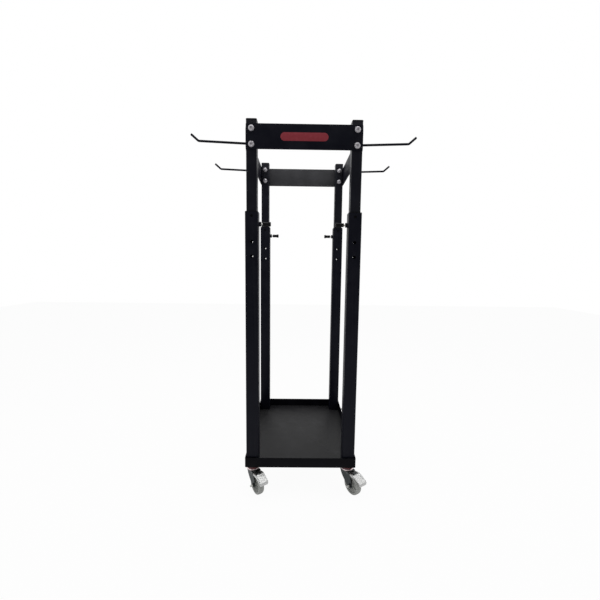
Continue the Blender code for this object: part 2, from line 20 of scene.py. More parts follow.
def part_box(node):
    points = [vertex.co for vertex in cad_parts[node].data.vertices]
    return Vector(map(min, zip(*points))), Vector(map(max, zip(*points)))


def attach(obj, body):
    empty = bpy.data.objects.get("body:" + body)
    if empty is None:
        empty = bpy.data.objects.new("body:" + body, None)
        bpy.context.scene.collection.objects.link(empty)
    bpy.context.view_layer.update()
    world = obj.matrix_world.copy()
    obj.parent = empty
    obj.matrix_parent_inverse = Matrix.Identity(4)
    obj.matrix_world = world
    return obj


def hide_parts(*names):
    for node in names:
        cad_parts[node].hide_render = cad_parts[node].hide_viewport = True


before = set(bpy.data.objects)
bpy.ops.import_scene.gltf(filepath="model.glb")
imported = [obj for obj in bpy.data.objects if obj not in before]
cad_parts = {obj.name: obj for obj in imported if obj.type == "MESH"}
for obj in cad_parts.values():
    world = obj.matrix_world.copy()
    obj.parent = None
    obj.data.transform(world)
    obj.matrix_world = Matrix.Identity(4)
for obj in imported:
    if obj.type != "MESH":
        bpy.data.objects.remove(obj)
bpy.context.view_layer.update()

LOG = logging.getLogger("mat_cart")
MM = 0.001
Ring = list[Vector]
Span = tuple[float, float]
Point = tuple[float, float, float]
Stations = Sequence[Span]
Skin, Mesh, Object = bmesh.types.BMesh, bpy.types.Mesh, bpy.types.Object
Tree, Node, Socket = bpy.types.NodeTree, bpy.types.Node, bpy.types.NodeSocket


class Corner(Enum):
    """A corner of the cart, as its side in X and in Y."""

    FRONT_LEFT = (-1, -1)
    FRONT_RIGHT = (1, -1)
    BACK_LEFT = (-1, 1)
    BACK_RIGHT = (1, 1)

    @property
    def tag(self) -> str:
        """The corner as the CAD nodes spell it."""
        return self.name.lower()

    @property
    def axis(self) -> Vector:
        """The upright's own axis on the floor, read from its sliding tube."""
        low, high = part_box("slide_tube_" + self.tag)
        return Vector(((low.x + high.x) / 2, (low.y + high.y) / 2, 0.0))


class Slot(Enum):
    """The record's material slots."""

    COAT = "black_powder_coat"
    BRIGHT = "bright_zinc"
    DULL = "grey_zinc"
    PLASTIC = "black_plastic"
    TYRE = "grey_tyre"


# Materials


def linear(code: str) -> tuple[float, float, float, float]:
    """Turn an sRGB hex colour into linear light.

    Args:
        code: The colour as #RRGGBB.

    Returns:
        Red, green, blue and an alpha of one.
    """
    values = [int(code[i:i + 2], 16) / 255 for i in (1, 3, 5)]
    red, green, blue = (v / 12.92 if v <= 0.04045 else ((v + 0.055) / 1.055) ** 2.4 for v in values)
    return red, green, blue, 1.0


def node(tree: Tree, kind: str, inputs: dict[str, Any] | None = None, **settings: Any) -> Node:
    """Add a node with its settings and links.

    Args:
        tree: The tree that gets the node.
        kind: The node's type name.
        inputs: Values or output sockets, by the name or identifier of the input.
        **settings: The node's own properties.

    Returns:
        The new node.
    """
    made = tree.nodes.new(kind)
    for key, value in settings.items():
        setattr(made, key, value)
    for name, value in (inputs or {}).items():
        socket = next(s for s in made.inputs if name in (s.identifier, s.name))
        if isinstance(value, Socket):
            tree.links.new(value, socket)
        else:
            socket.default_value = value
    return made


def per_mm(size_mm: float) -> float:
    """Texture scale at which one feature of a pattern is that many millimetres wide."""
    return 1000.0 / size_mm


@dataclass(frozen=True)
class Finish:
    """What all finishes share: colour, relief, patches and how light leaves the surface.

    Attributes:
        name: The material's name.
        colour: Base colour in sRGB hex.
        other: Colour that shows in patches.
        slot: The record's slot that the finish belongs to; not used.
        metallic: 1 for bare metal, 0 for coats and plastics.
        roughness: Mean roughness.
        gloss: Specular level of a coat or plastic; metals leave it alone.
        relief_mm: Width of one swell of the fine relief.
        relief_depth_mm: Height of it.
        relief_detail: Octaves of finer relief.
        patch_mm: Width of one patch.
        patch_detail: Octaves of finer patches.
        patch_harshness: How strong the finer ones are.
        fade: Pattern values where the other colour starts and is complete.
        swing: How far the roughness goes to either side of its mean.
    """

    name: str
    colour: str
    other: str
    slot: Slot
    metallic: float = 0.0
    roughness: float = 0.5
    gloss: float = 0.5
    relief_mm: float = 1.0
    relief_depth_mm: float = 0.05
    relief_detail: float = 2.0
    patch_mm: float = 10.0
    patch_detail: float = 3.0
    patch_harshness: float = 0.6
    fade: Span = (0.40, 0.65)
    swing: float = 0.10

    def material(self) -> bpy.types.Material:
        """Give the finish's material, made on first use.

        Returns:
            The material.
        """
        found = bpy.data.materials.get(self.name)
        if found:
            return found
        made = bpy.data.materials.new(self.name)
        made.use_nodes = True
        shader = made.node_tree.nodes["Principled BSDF"]
        for name, value in (("Base Color", linear(self.colour)), ("Metallic", self.metallic),
                            ("Roughness", self.roughness), ("Specular IOR Level", self.gloss)):
            shader.inputs[name].default_value = value
        self.pattern(made.node_tree, shader)
        return made

    def pattern(self, tree: Tree, shader: Node) -> None:
        """Add the fine relief, the patches of the other colour and the uneven sheen.

        Args:
            tree: The material's tree.
            shader: Its Principled shader.
        """
        place = node(tree, "ShaderNodeTexCoord").outputs["Object"]
        relief = node(tree, "ShaderNodeTexNoise",
                      {"Vector": place, "Scale": per_mm(self.relief_mm), "Detail": self.relief_detail})
        bump = node(tree, "ShaderNodeBump", {"Height": relief.outputs["Fac"], "Strength": 1.0,
                                             "Distance": self.relief_depth_mm * MM})
        patch = node(tree, "ShaderNodeTexNoise",
                     {"Vector": place, "Scale": per_mm(self.patch_mm), "Detail": self.patch_detail,
                      "Roughness": self.patch_harshness}).outputs["Fac"]
        share = node(tree, "ShaderNodeMapRange",
                     {"Value": patch, "From Min": self.fade[0], "From Max": self.fade[1],
                      "To Min": 0.0, "To Max": 1.0})
        mixed = node(tree, "ShaderNodeMix",
                     {"Factor_Float": share.outputs["Result"], "A_Color": linear(self.colour),
                      "B_Color": linear(self.other)}, data_type="RGBA")
        blend = next(s for s in mixed.outputs if s.identifier == "Result_Color")
        rough = node(tree, "ShaderNodeMapRange",
                     {"Value": self.sheen(tree, place, patch), "From Min": 0.3, "From Max": 0.7,
                      "To Min": self.roughness - self.swing, "To Max": self.roughness + self.swing})
        for name, socket in (("Normal", bump.outputs["Normal"]), ("Base Color", blend),
                             ("Roughness", rough.outputs["Result"])):
            tree.links.new(socket, shader.inputs[name])

    def sheen(self, tree: Tree, place: Socket, patch: Socket) -> Socket:
        """The pattern that swings the roughness: the patches, unless a kind has its own."""
        return patch


@dataclass(frozen=True)
class PowderCoat(Finish):
    """Polyester powder, sprayed dry on steel and baked.

    It flows out to a satin skin with a faint orange peel, so the eye gets an even black
    with soft highlights that break up a little. The peel of a real coat is 1 to 2 mm
    wide; it is drawn a little coarser and deeper so that it still shows in the render.

    Attributes:
        rub_mm: Width of the rub marks along Z on a tube that slides; 0 for none.
        rub_length_mm: Length of them.
    """

    slot: Slot = Slot.COAT
    roughness: float = 0.46
    relief_mm: float = 2.2
    patch_mm: float = 55.0
    patch_detail: float = 4.0
    fade: Span = (0.42, 0.66)
    swing: float = 0.07
    rub_mm: float = 0.0
    rub_length_mm: float = 140.0

    def sheen(self, tree: Tree, place: Socket, patch: Socket) -> Socket:
        """Rub marks along Z on a tube that slides, and the patches on the rest.

        Args:
            tree: The material's tree.
            place: Coordinates that the marks follow.
            patch: The patches' pattern.

        Returns:
            The pattern that swings the roughness.
        """
        if not self.rub_mm:
            return patch
        scale = (per_mm(self.rub_mm), per_mm(self.rub_mm), per_mm(self.rub_length_mm))
        along = node(tree, "ShaderNodeMapping", {"Vector": place, "Scale": scale})
        rubs = node(tree, "ShaderNodeTexNoise",
                    {"Vector": along.outputs["Vector"], "Scale": 1.0, "Detail": 3.0})
        return rubs.outputs["Fac"]


@dataclass(frozen=True)
class ZincPlate(Finish):
    """Zinc, plated on steel in a tumbling barrel and passivated clear.

    It gives the eye a cool silver with soft, slightly broken glints from the tumbling,
    and a faint cast in patches from the passivation.
    """

    slot: Slot = Slot.BRIGHT
    metallic: float = 1.0
    relief_mm: float = 1.2
    relief_detail: float = 3.0
    patch_mm: float = 7.0

    def sheen(self, tree: Tree, place: Socket, patch: Socket) -> Socket:
        """An uneven brightness that is finer than the cast."""
        fine = {"Vector": place, "Scale": per_mm(self.patch_mm / 3), "Detail": 2.0}
        return node(tree, "ShaderNodeTexNoise", fine).outputs["Fac"]


@dataclass(frozen=True)
class Moulded(Finish):
    """Injection-moulded thermoplastic from a spark-eroded mould.

    It gives the eye a soft, even sheen with a very fine grain, drawn at about 0.8 mm so
    that it can be seen close up, and faint scuffs that are a shade lighter.
    """

    slot: Slot = Slot.PLASTIC
    relief_mm: float = 0.8
    relief_depth_mm: float = 0.03
    patch_mm: float = 12.0
    patch_detail: float = 5.0
    patch_harshness: float = 0.65
    fade: Span = (0.48, 0.70)
    swing: float = 0.06


# Posts, plates, hooks and beads: near black with a trace of blue
FRAME_COAT = PowderCoat("frame_powder_coat", "#10111B", "#161720", gloss=0.10)
# Back plate: the frame's coat painted a paler grey black, painted light for the light that its inner face
# catches
BACK_PLATE_PAINTED_LIGHT_COAT = PowderCoat("plate_powder_coat", "#414144", "#49494C", gloss=0.22)
# Lips and underside of the tray: the frame's black painted deeper, painted shade for the shaded front of
# the lips
TRAY_PAINTED_SHADE_COAT = PowderCoat("tray_powder_coat", "#06060B", "#0A0A10", gloss=0.08)
# Deck: a flat black painted a shade lighter than the frame, painted light for the overhead light on its
# top face
DECK_PAINTED_LIGHT_COAT = PowderCoat("deck_powder_coat", "#18181A", "#202021", roughness=0.55, gloss=0.24)
# Sliding tubes: the frame's black with rub marks along the slide
TUBE_COAT = PowderCoat("tube_powder_coat", "#12131C", "#191A23", roughness=0.42, gloss=0.18, rub_mm=2.5)
# Axles and lock pins: clean silver with a straw cast
BRIGHT_ZINC = ZincPlate("bright_zinc_plate", "#D4D6D5", "#B9B6AA", roughness=0.32)
# Rims of the swivels: zinc painted near white and pink, a painted glint with a painted reflection of the
# maroon seal beside it
RIM_PAINTED_GLINT_ZINC = ZincPlate("rim_zinc_plate", "#F6E4E4", "#ECD8D8", roughness=0.24)
# Bolts: soft, pale grey heads
BOLT_ZINC = ZincPlate("bolt_zinc_plate", "#CBC9CF", "#C0BCC0", metallic=0.70, roughness=0.50,
                      relief_depth_mm=0.03)
# Brake pedals: an even, bright satin
PEDAL_ZINC = ZincPlate("pedal_zinc_plate", "#D0D1D0", "#CACAC9", roughness=0.48, relief_depth_mm=0.006)
# Forks, heads and nuts: dull dark grey
FORK_ZINC = ZincPlate("fork_dull_zinc", "#4C5052", "#3C403F", Slot.DULL, metallic=0.85, roughness=0.42)
# Bushes, caps and knobs: matt black
BLACK_NYLON = Moulded("black_nylon", "#08080C", "#0E0E12", roughness=0.50, gloss=0.12)
# Treads: pale matt grey
WHEEL_RUBBER = Moulded("grey_tread_rubber", "#AEB0AC", "#B8BAB6", Slot.TYRE, roughness=0.62,
                       relief_depth_mm=0.05)
# Wheel cores: the same grey, a little smoother
WHEEL_CORE = Moulded("grey_wheel_core", "#AEB0AC", "#B8BAB6", Slot.TYRE, roughness=0.48)
# Seals of the swivels: glossy maroon
SEAL_PLASTIC = Moulded("maroon_seal_plastic", "#5C2429", "#6A3237", roughness=0.24,
                       relief_depth_mm=0.008)
# Bar on the front plate: printed red enamel with the grain of the coat under it
RED_PRINT = Moulded("red_printed_enamel", "#932C38", "#9C3642", Slot.COAT, roughness=0.42, relief_mm=1.6)


# Meshes


def square_ring(half_x: float, half_y: float, z: float, radius: float, steps: int = 6) -> Ring:
    """Points of a rounded rectangle.

    Args:
        half_x: Half its size in X.
        half_y: Half its size in Y.
        z: Height.
        radius: Corner radius.
        steps: Segments in each corner.

    Returns:
        The points, counter-clockwise from above.
    """
    points = []
    for quarter, (sx, sy) in enumerate(((1, 1), (-1, 1), (-1, -1), (1, -1))):
        centre = Vector((sx * (half_x - radius), sy * (half_y - radius), z))
        for step in range(steps + 1):
            turn = (quarter + step / steps) * math.pi / 2
            points.append(centre + radius * Vector((math.cos(turn), math.sin(turn), 0)))
    return points


def round_ring(radius: float, z: float, sides: int = 48, flats: int = 0,
               depth: float = 0.0) -> Ring:
    """Points of a circle about Z, plain, fluted or flattened to a polygon.

    Args:
        radius: The circle's radius, or the polygon's from its middle to a flat.
        z: Height.
        sides: Number of points.
        flats: Number of flutes or flats.
        depth: Depth of the flutes; 0 with flats makes a polygon.

    Returns:
        The points, counter-clockwise from above.
    """
    points = []
    for i in range(sides):
        turn = 2 * math.pi * i / sides
        reach = radius
        if flats and depth:
            reach -= depth * (0.5 + 0.5 * math.cos(flats * turn))
        elif flats:
            part = math.pi / flats
            reach /= math.cos((turn + part) % (2 * part) - part)
        points.append(Vector((reach * math.cos(turn), reach * math.sin(turn), z)))
    return points


def turned(stations: Stations, sides: int = 48, flats: int = 0) -> list[Ring]:
    """Rings of a profile about Z, from radius and height in mm; flats make a polygon."""
    return [round_ring(r * MM, z * MM, sides, flats) for r, z in stations]


def square_rings(stations: Sequence[Point]) -> list[Ring]:
    """Rings of rounded squares about Z, from half width, height and corner radius."""
    return [square_ring(half, half, z, radius) for half, z, radius in stations]


def turns(span: float, steps: int) -> list[float]:
    """Angles from 0 to a span in equal steps, both ends included."""
    return [step / steps * span for step in range(steps + 1)]


def loft(rings: Sequence[Ring], closed: bool = False) -> Skin:
    """Skin a row of equal rings.

    Args:
        rings: The rings, from one end to the other.
        closed: Join the last ring to the first; else both ends are capped.

    Returns:
        The skin, with outward normals.
    """
    skin = bmesh.new()
    loops = [[skin.verts.new(point) for point in ring] for ring in rings]
    pairs = list(zip(loops, loops[1:])) + ([(loops[-1], loops[0])] if closed else [])
    for low, high in pairs:
        for i, corner in enumerate(low):
            j = (i + 1) % len(low)
            skin.faces.new((corner, low[j], high[j], high[i]))
    if not closed:
        skin.faces.new(list(reversed(loops[0])))
        skin.faces.new(loops[-1])
    bmesh.ops.recalc_face_normals(skin, faces=skin.faces)
    return skin


def lathe(stations: Stations, sides: int = 48, closed: bool = False) -> Skin:
    """Turn a profile about Z; a closed one joins its ends, for a piece with a bore."""
    return loft(turned(stations, sides), closed)


def placed(skin: Skin, matrix: Matrix) -> Skin:
    """Move a skin in place and keep its normals outward.

    Args:
        skin: The skin to move.
        matrix: Where it goes.

    Returns:
        The same skin.
    """
    bmesh.ops.transform(skin, matrix=matrix, verts=skin.verts)
    bmesh.ops.recalc_face_normals(skin, faces=skin.faces)
    return skin


def mesh_of(skin: Skin, name: str) -> Mesh:
    """Turn a skin into a mesh.

    Args:
        skin: The skin; it is used up.
        name: The mesh's name.

    Returns:
        The mesh.
    """
    mesh = bpy.data.meshes.new(name)
    skin.to_mesh(mesh)
    skin.free()
    return mesh


def linked(name: str, data: bpy.types.ID) -> Object:
    """Make an object and link it to the scene.

    Args:
        name: The object's name.
        data: Its mesh, lamp or camera.

    Returns:
        The object.
    """
    obj = bpy.data.objects.new(name, data)
    bpy.context.scene.collection.objects.link(obj)
    return obj


def merged(skins: Sequence[Skin]) -> Skin:
    """Gather several closed skins in one.

    Args:
        skins: The skins; they are used up.

    Returns:
        One skin with all their faces.
    """
    whole = bmesh.new()
    for skin in skins:
        mesh = mesh_of(skin, "part_of_piece")
        whole.from_mesh(mesh)
        bpy.data.meshes.remove(mesh)
    return whole


def helper(skin: Skin) -> Object:
    """Make a passing object of a skin, for modifiers and node trees."""
    return linked("helper", mesh_of(skin, "helper"))


def settled(obj: Object, *others: Object) -> Skin:
    """Apply an object's modifiers, hand back its skin and clear up.

    Args:
        obj: The object with the modifiers.
        *others: Further objects that the modifiers used.

    Returns:
        The skin.
    """
    graph = bpy.context.evaluated_depsgraph_get()
    mesh = bpy.data.meshes.new_from_object(obj.evaluated_get(graph))
    skin = bmesh.new()
    skin.from_mesh(mesh)
    bpy.data.meshes.remove(mesh)
    obj.modifiers.clear()
    for used in (obj, *others):
        old = used.data
        bpy.data.objects.remove(used, do_unlink=True)
        bpy.data.meshes.remove(old)
    return skin


def soften(obj: Object, rim: float, angle: float) -> None:
    """Give an object a narrow bevel on its sharp edges.

    Args:
        obj: The object.
        rim: Width of the broken edges.
        angle: Angle in degrees above which an edge is broken.
    """
    edge = obj.modifiers.new("edge", "BEVEL")
    edge.width, edge.segments, edge.limit_method = rim, 2, "ANGLE"
    edge.angle_limit = math.radians(angle)


def carved(skin: Skin, tools: Sequence[Skin], rim: float) -> Skin:
    """Cut tools from a skin and break the sharp edges.

    Args:
        skin: The solid to cut.
        tools: The solids that are taken away; none to break the edges only.
        rim: Width of the broken edges.

    Returns:
        The finished skin.
    """
    obj = helper(skin)
    others = [helper(merged(tools))] if tools else []
    for other in others:
        cut = obj.modifiers.new("cut", "BOOLEAN")
        cut.operation, cut.solver, cut.object = "DIFFERENCE", "EXACT", other
    soften(obj, rim, 50)
    return settled(obj, *others)


def pressed(rows: Sequence[Sequence[Vector]], sheet: float, gaps: Sequence[tuple[int, int]] = (),
            crease: float = 0.0) -> Object:
    """Make a pressed sheet of rows of points, with its face on them and its steel below.

    Args:
        rows: Equal rows of points in millimetres.
        sheet: The steel's thickness.
        gaps: Cells that stay open, as row and column.
        crease: How far smoothing leaves the cut edges sharp, from 0 to 1.

    Returns:
        A passing object with the modifier that thickens it.
    """
    skin = bmesh.new()
    grid = [[skin.verts.new(point * MM) for point in row] for row in rows]
    for i, (one, two) in enumerate(zip(grid, grid[1:])):
        for j in range(len(one) - 1):
            if (i, j) not in gaps:
                skin.faces.new((one[j], two[j], two[j + 1], one[j + 1]))
    bmesh.ops.recalc_face_normals(skin, faces=skin.faces)
    if max(skin.faces, key=lambda face: face.calc_center_median().z).normal.z < 0:
        bmesh.ops.reverse_faces(skin, faces=skin.faces)
    obj = helper(skin)
    wall = obj.modifiers.new("wall", "SOLIDIFY")
    wall.thickness, wall.offset = sheet, -1.0
    wall.edge_crease_inner = wall.edge_crease_outer = crease
    return obj


def slab(half_x: float, half_y: float, thick: float, corner: float, edge: float) -> Skin:
    """A sheet-metal blank with rounded corners and softened edges, from z = 0 up.

    Args:
        half_x: Half its size in X.
        half_y: Half its size in Y.
        thick: Sheet thickness.
        corner: Corner radius.
        edge: Radius of the softened edges.

    Returns:
        The slab.
    """
    rings = []
    for level, side, angles in ((edge, -1, turns(math.pi / 2, 3)),
                                (thick - edge, 1, reversed(turns(math.pi / 2, 3)))):
        for angle in angles:
            inset = edge * (1 - math.sin(angle))
            z = level + side * edge * math.cos(angle)
            rings.append(square_ring(half_x - inset, half_y - inset, z, corner - inset))
    return loft(rings)


def piece(name: str, skin: Skin, finish: Finish, body: str, nodes: Sequence[str] = (),
          sharp: float = 38.0) -> None:
    """Make a finished piece that rides on a CAD body.

    Args:
        name: The piece's name.
        skin: Its skin, in place; it is used up.
        finish: Its finish.
        body: The CAD body that it rides on.
        nodes: CAD nodes that it stands for.
        sharp: Angle in degrees above which an edge stays sharp.
    """
    mesh = mesh_of(skin, name)
    mesh.materials.clear()
    mesh.materials.append(finish.material())
    mesh.shade_smooth()
    mesh.set_sharp_from_angle(angle=math.radians(sharp))
    obj = linked(name, mesh)
    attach(obj, body)
    if nodes:
        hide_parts(*nodes)
    triangles = sum(len(face.vertices) - 2 for face in mesh.polygons)
    LOG.info("%s: %d triangles on %s", name, triangles, body)


def aimed(spot: Vector, direction: Vector) -> Matrix:
    """Matrix that moves the origin to a spot and turns +Z to a direction."""
    turn = Vector((0, 0, 1)).rotation_difference(direction).to_matrix().to_4x4()
    return Matrix.Translation(spot) @ turn


def smooth_step(value: float, low: float, high: float) -> float:
    """Ease from 0 at low to 1 at high."""
    share = min(max((value - low) / (high - low), 0.0), 1.0)
    return share * share * (3 - 2 * share)


def ridge(value: float, middle: float, half: float) -> float:
    """A rounded ridge, 1 at its middle and 0 beyond twice its half width."""
    return 1 - smooth_step(abs(value - middle), 0.0, 2 * half)


# Node trees


class ShapeTree:
    """A Geometry Nodes tree that turns a carrier of points into a skin."""

    def __init__(self, name: str, inputs: dict[str, str]) -> None:
        """Start the tree.

        Args:
            name: Its name.
            inputs: Kinds of its own inputs by name, besides geometry and finish.
        """
        self.tree = bpy.data.node_groups.new(name, "GeometryNodeTree")
        face = self.tree.interface
        for way in ("OUTPUT", "INPUT"):
            face.new_socket("Geometry", in_out=way, socket_type="NodeSocketGeometry")
        for label, kind in {**inputs, "Finish": "Material"}.items():
            face.new_socket(label, in_out="INPUT", socket_type="NodeSocket" + kind)
        self.given = node(self.tree, "NodeGroupInput").outputs

    def close(self, last: Node) -> None:
        """End the tree in real geometry with the given finish.

        Args:
            last: The node that makes the geometry.
        """
        real = node(self.tree, "GeometryNodeRealizeInstances", {"Geometry": last.outputs[0]})
        dressed = node(self.tree, "GeometryNodeSetMaterial",
                       {"Geometry": real.outputs[0], "Material": self.given["Finish"]})
        node(self.tree, "NodeGroupOutput", {"Geometry": dressed.outputs[0]})

    def grow(self, carrier: Mesh, values: dict[str, Any], *others: Object) -> Skin:
        """Run the tree on a carrier.

        Args:
            carrier: Points, edges and kept values.
            values: What goes in the tree's inputs, by name.
            *others: Objects that the tree uses up.

        Returns:
            One plain skin.
        """
        obj = linked(carrier.name, carrier)
        run = obj.modifiers.new("tree", "NODES")
        run.node_group = self.tree
        for item in self.tree.interface.items_tree:
            if item.in_out == "INPUT" and item.name in values:
                run[item.identifier] = values[item.name]
        return settled(obj, *others)


class Repeater(ShapeTree):
    """A tree that sets one shape on many points."""

    def __init__(self) -> None:
        """Build the tree with its named inputs."""
        super().__init__("set_shape_on_points", {"Shape": "Object", "Size": "Float"})
        tree, given = self.tree, self.given
        shape = node(tree, "GeometryNodeObjectInfo", {"Object": given["Shape"]})
        turn = node(tree, "GeometryNodeInputNamedAttribute", {"Name": "turn"}, data_type="FLOAT_VECTOR")
        grown = node(tree, "GeometryNodeInputNamedAttribute", {"Name": "grow"}, data_type="FLOAT")
        size = node(tree, "ShaderNodeMath", {"Value": given["Size"], "Value_001": grown.outputs[0]},
                    operation="MULTIPLY")
        angle = node(tree, "FunctionNodeEulerToRotation", {"Euler": turn.outputs[0]})
        self.close(node(tree, "GeometryNodeInstanceOnPoints",
                        {"Points": given["Geometry"], "Instance": shape.outputs["Geometry"],
                         "Rotation": angle.outputs[0], "Scale": size.outputs[0]}))

    def run(self, shape: Skin, places: Sequence[Matrix], finish: Finish,
            sizes: Sequence[float] | None = None) -> Skin:
        """Set the shape on every place.

        Args:
            shape: The shape about its own origin; it is used up.
            places: Where each copy goes.
            finish: The copies' finish.
            sizes: A factor for each copy, or one for all when left out.

        Returns:
            One skin with all the copies.
        """
        points = bpy.data.meshes.new("places")
        points.from_pydata([place.translation for place in places], [], [])
        turned_by = [angle for place in places for angle in place.to_euler()]
        points.attributes.new("turn", "FLOAT_VECTOR", "POINT").data.foreach_set("vector", turned_by)
        factors = sizes or [1.0] * len(places)
        points.attributes.new("grow", "FLOAT", "POINT").data.foreach_set("value", factors)
        master = helper(shape)
        return self.grow(points, {"Shape": master, "Size": 1.0, "Finish": finish.material()}, master)


class RodSweep(ShapeTree):
    """A tree that runs a round rod along bent paths."""

    def __init__(self) -> None:
        """Build the tree with its named inputs."""
        super().__init__("sweep_rod_on_path", {"Rod radius": "Float", "Sides": "Int"})
        tree, given = self.tree, self.given
        line = node(tree, "GeometryNodeMeshToCurve", {"Mesh": given["Geometry"]})
        swell = node(tree, "GeometryNodeInputNamedAttribute", {"Name": "swell"}, data_type="FLOAT")
        profile = node(tree, "GeometryNodeCurvePrimitiveCircle",
                       {"Radius": given["Rod radius"], "Resolution": given["Sides"]})
        self.close(node(tree, "GeometryNodeCurveToMesh",
                        {"Curve": line.outputs[0], "Profile Curve": profile.outputs["Curve"],
                         "Scale": swell.outputs[0], "Fill Caps": True}))

    def run(self, paths: Sequence[Sequence[Vector]], swells: Sequence[Sequence[float]], radius: float,
            finish: Finish, sides: int = 28) -> Skin:
        """Sweep a rod along each path.

        Args:
            paths: The points of each centre line.
            swells: A radius factor for each of those points.
            radius: The rod's radius.
            finish: Its finish.
            sides: Points round the rod.

        Returns:
            One skin with all the rods.
        """
        points, edges, factors = [], [], []
        for path, swell in zip(paths, swells):
            start = len(points)
            points += list(path)
            factors += list(swell)
            edges += [(start + i, start + i + 1) for i in range(len(path) - 1)]
        lines = bpy.data.meshes.new("paths")
        lines.from_pydata(points, edges, [])
        lines.attributes.new("swell", "FLOAT", "POINT").data.foreach_set("value", factors)
        skin = self.grow(lines, {"Rod radius": radius, "Sides": sides, "Finish": finish.material()})
        bmesh.ops.remove_doubles(skin, verts=skin.verts, dist=1e-6)
        bmesh.ops.recalc_face_normals(skin, faces=skin.faces)
        return skin


@dataclass
class Welder:
    """Lays powder-coated weld beads as rows of overlapping scales.

    Attributes:
        repeater: The tree that sets the scales.
        radius: Radius of one scale.
        pitch: Distance from one scale to the next.
        ripple: How far the scales' sizes swing about their mean.
    """

    repeater: Repeater
    radius: float = 0.0016
    pitch: float = 0.0013
    ripple: float = 0.10

    def scale(self) -> Skin:
        """One scale of a bead: a flattened ball.

        Returns:
            Its skin about its own origin.
        """
        skin = bmesh.new()
        bmesh.ops.create_icosphere(skin, subdivisions=1, radius=self.radius)
        bmesh.ops.scale(skin, vec=Vector((1, 1, 0.75)), verts=skin.verts)
        return skin

    def bead(self, name: str, lines: Sequence[tuple[Vector, Vector]], body: str) -> None:
        """Lay a bead along each line.

        Args:
            name: The piece's name.
            lines: Start and end of each bead.
            body: The CAD body that it rides on.
        """
        places, sizes = [], []
        for start, end in lines:
            count = max(2, round((end - start).length / self.pitch))
            direction = (end - start).normalized()
            for i in range(count + 1):
                places.append(aimed(start.lerp(end, i / count), direction))
                sizes.append(1.0 + self.ripple * math.sin(2.3 * i) * math.cos(0.9 * i))
        beads = self.repeater.run(self.scale(), places, FRAME_COAT, sizes)
        piece(name, beads, FRAME_COAT, body, sharp=80.0)


# The cart


@dataclass
class Tray:
    """Folded steel tray with a turned-up lip, thickened corners and welded corner seams.

    Attributes:
        welder: Lays the seams.
        bend: Outside radius of the fold between deck and lip.
        edge: Rounding of the lip's cut edge.
        corner: Outside radius of the upright corners.
        sheet: Sheet thickness.
        doubler: Thickness of the corner plates.
        doubler_corner: Their corner radius.
        doubler_edge: Rounding of their edges.
        least_corner: Smallest corner radius on the inside of the lip.
        bite: How far the corner plates reach into the deck.
        skin: Thickness of the deck's own skin.
        skin_gap: Distance from that skin to the lips.
        bead_inset: How far a seam's middle lies inside the corner's outline.
    """

    welder: Welder
    bend: float = 0.0035
    edge: float = 0.0007
    corner: float = 0.005
    sheet: float = 0.002
    doubler: float = 0.001
    doubler_corner: float = 0.0015
    doubler_edge: float = 0.0003
    least_corner: float = 0.0008
    bite: float = 0.0004
    skin: float = 0.0003
    skin_gap: float = 0.0016
    bead_inset: float = 0.0009

    def build(self) -> None:
        """Build the tray, its deck skin and its seams."""
        low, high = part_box("base_tray")
        # The lips and underside get the coat painted deeper black as painted shade
        piece("tray_lips_and_underside", self.shell(low, high), TRAY_PAINTED_SHADE_COAT, "base", ["base_tray"])
        inset = self.sheet + self.skin_gap
        deck = placed(slab(high.x - inset, high.y - inset, self.skin, self.sheet, self.skin / 3),
                      Matrix.Translation((0, 0, low.z + self.sheet)))
        # The deck's skin gets the coat with painted light from above
        piece("tray_deck_top", deck, DECK_PAINTED_LIGHT_COAT, "base")
        self.seams(low, high)

    def shell(self, low: Vector, high: Vector) -> Skin:
        """Fold the tray from outside bottom to deck.

        Args:
            low: Lowest corner of the CAD tray.
            high: Highest corner of it.

        Returns:
            The folded shell with its corner plates.
        """
        bend, edge, floor = self.bend, self.edge, low.z + self.sheet
        inner = bend - self.sheet
        profile = [(bend * (1 - math.sin(t)), low.z + bend * (1 - math.cos(t)))
                   for t in turns(math.pi / 2, 6)]
        profile += [((edge if t <= math.pi / 2 else self.sheet - edge) - edge * math.cos(t),
                     high.z - edge + edge * math.sin(t)) for t in turns(math.pi, 6)]
        profile += [(self.sheet + inner * (1 - math.cos(t)), floor + inner * (1 - math.sin(t)))
                    for t in turns(math.pi / 2, 3)]
        skins = [loft([square_ring(high.x - inset, high.y - inset, z,
                                   max(self.corner - inset, self.least_corner))
                       for inset, z in profile])]
        for corner in Corner:
            half = high.x - self.sheet - abs(corner.axis.x)
            plate = slab(half, half, self.doubler + self.bite, self.doubler_corner, self.doubler_edge)
            place = Matrix.Translation(corner.axis + Vector((0, 0, floor - self.bite)))
            skins.append(placed(plate, place))
        return merged(skins)

    def seams(self, low: Vector, high: Vector) -> None:
        """Weld the lips together at the upright corners.

        Args:
            low: Lowest corner of the CAD tray.
            high: Highest corner of it.
        """
        reach = self.corner * (1 - math.sqrt(0.5)) + self.bead_inset
        lines = []
        for corner in Corner:
            sx, sy = corner.value
            foot = Vector((sx * (high.x - reach), sy * (high.y - reach), low.z + self.bend))
            lines.append((foot, foot + Vector((0, 0, high.z - low.z - self.bend - self.sheet))))
        self.welder.bead("tray_corner_welds", lines, "base")


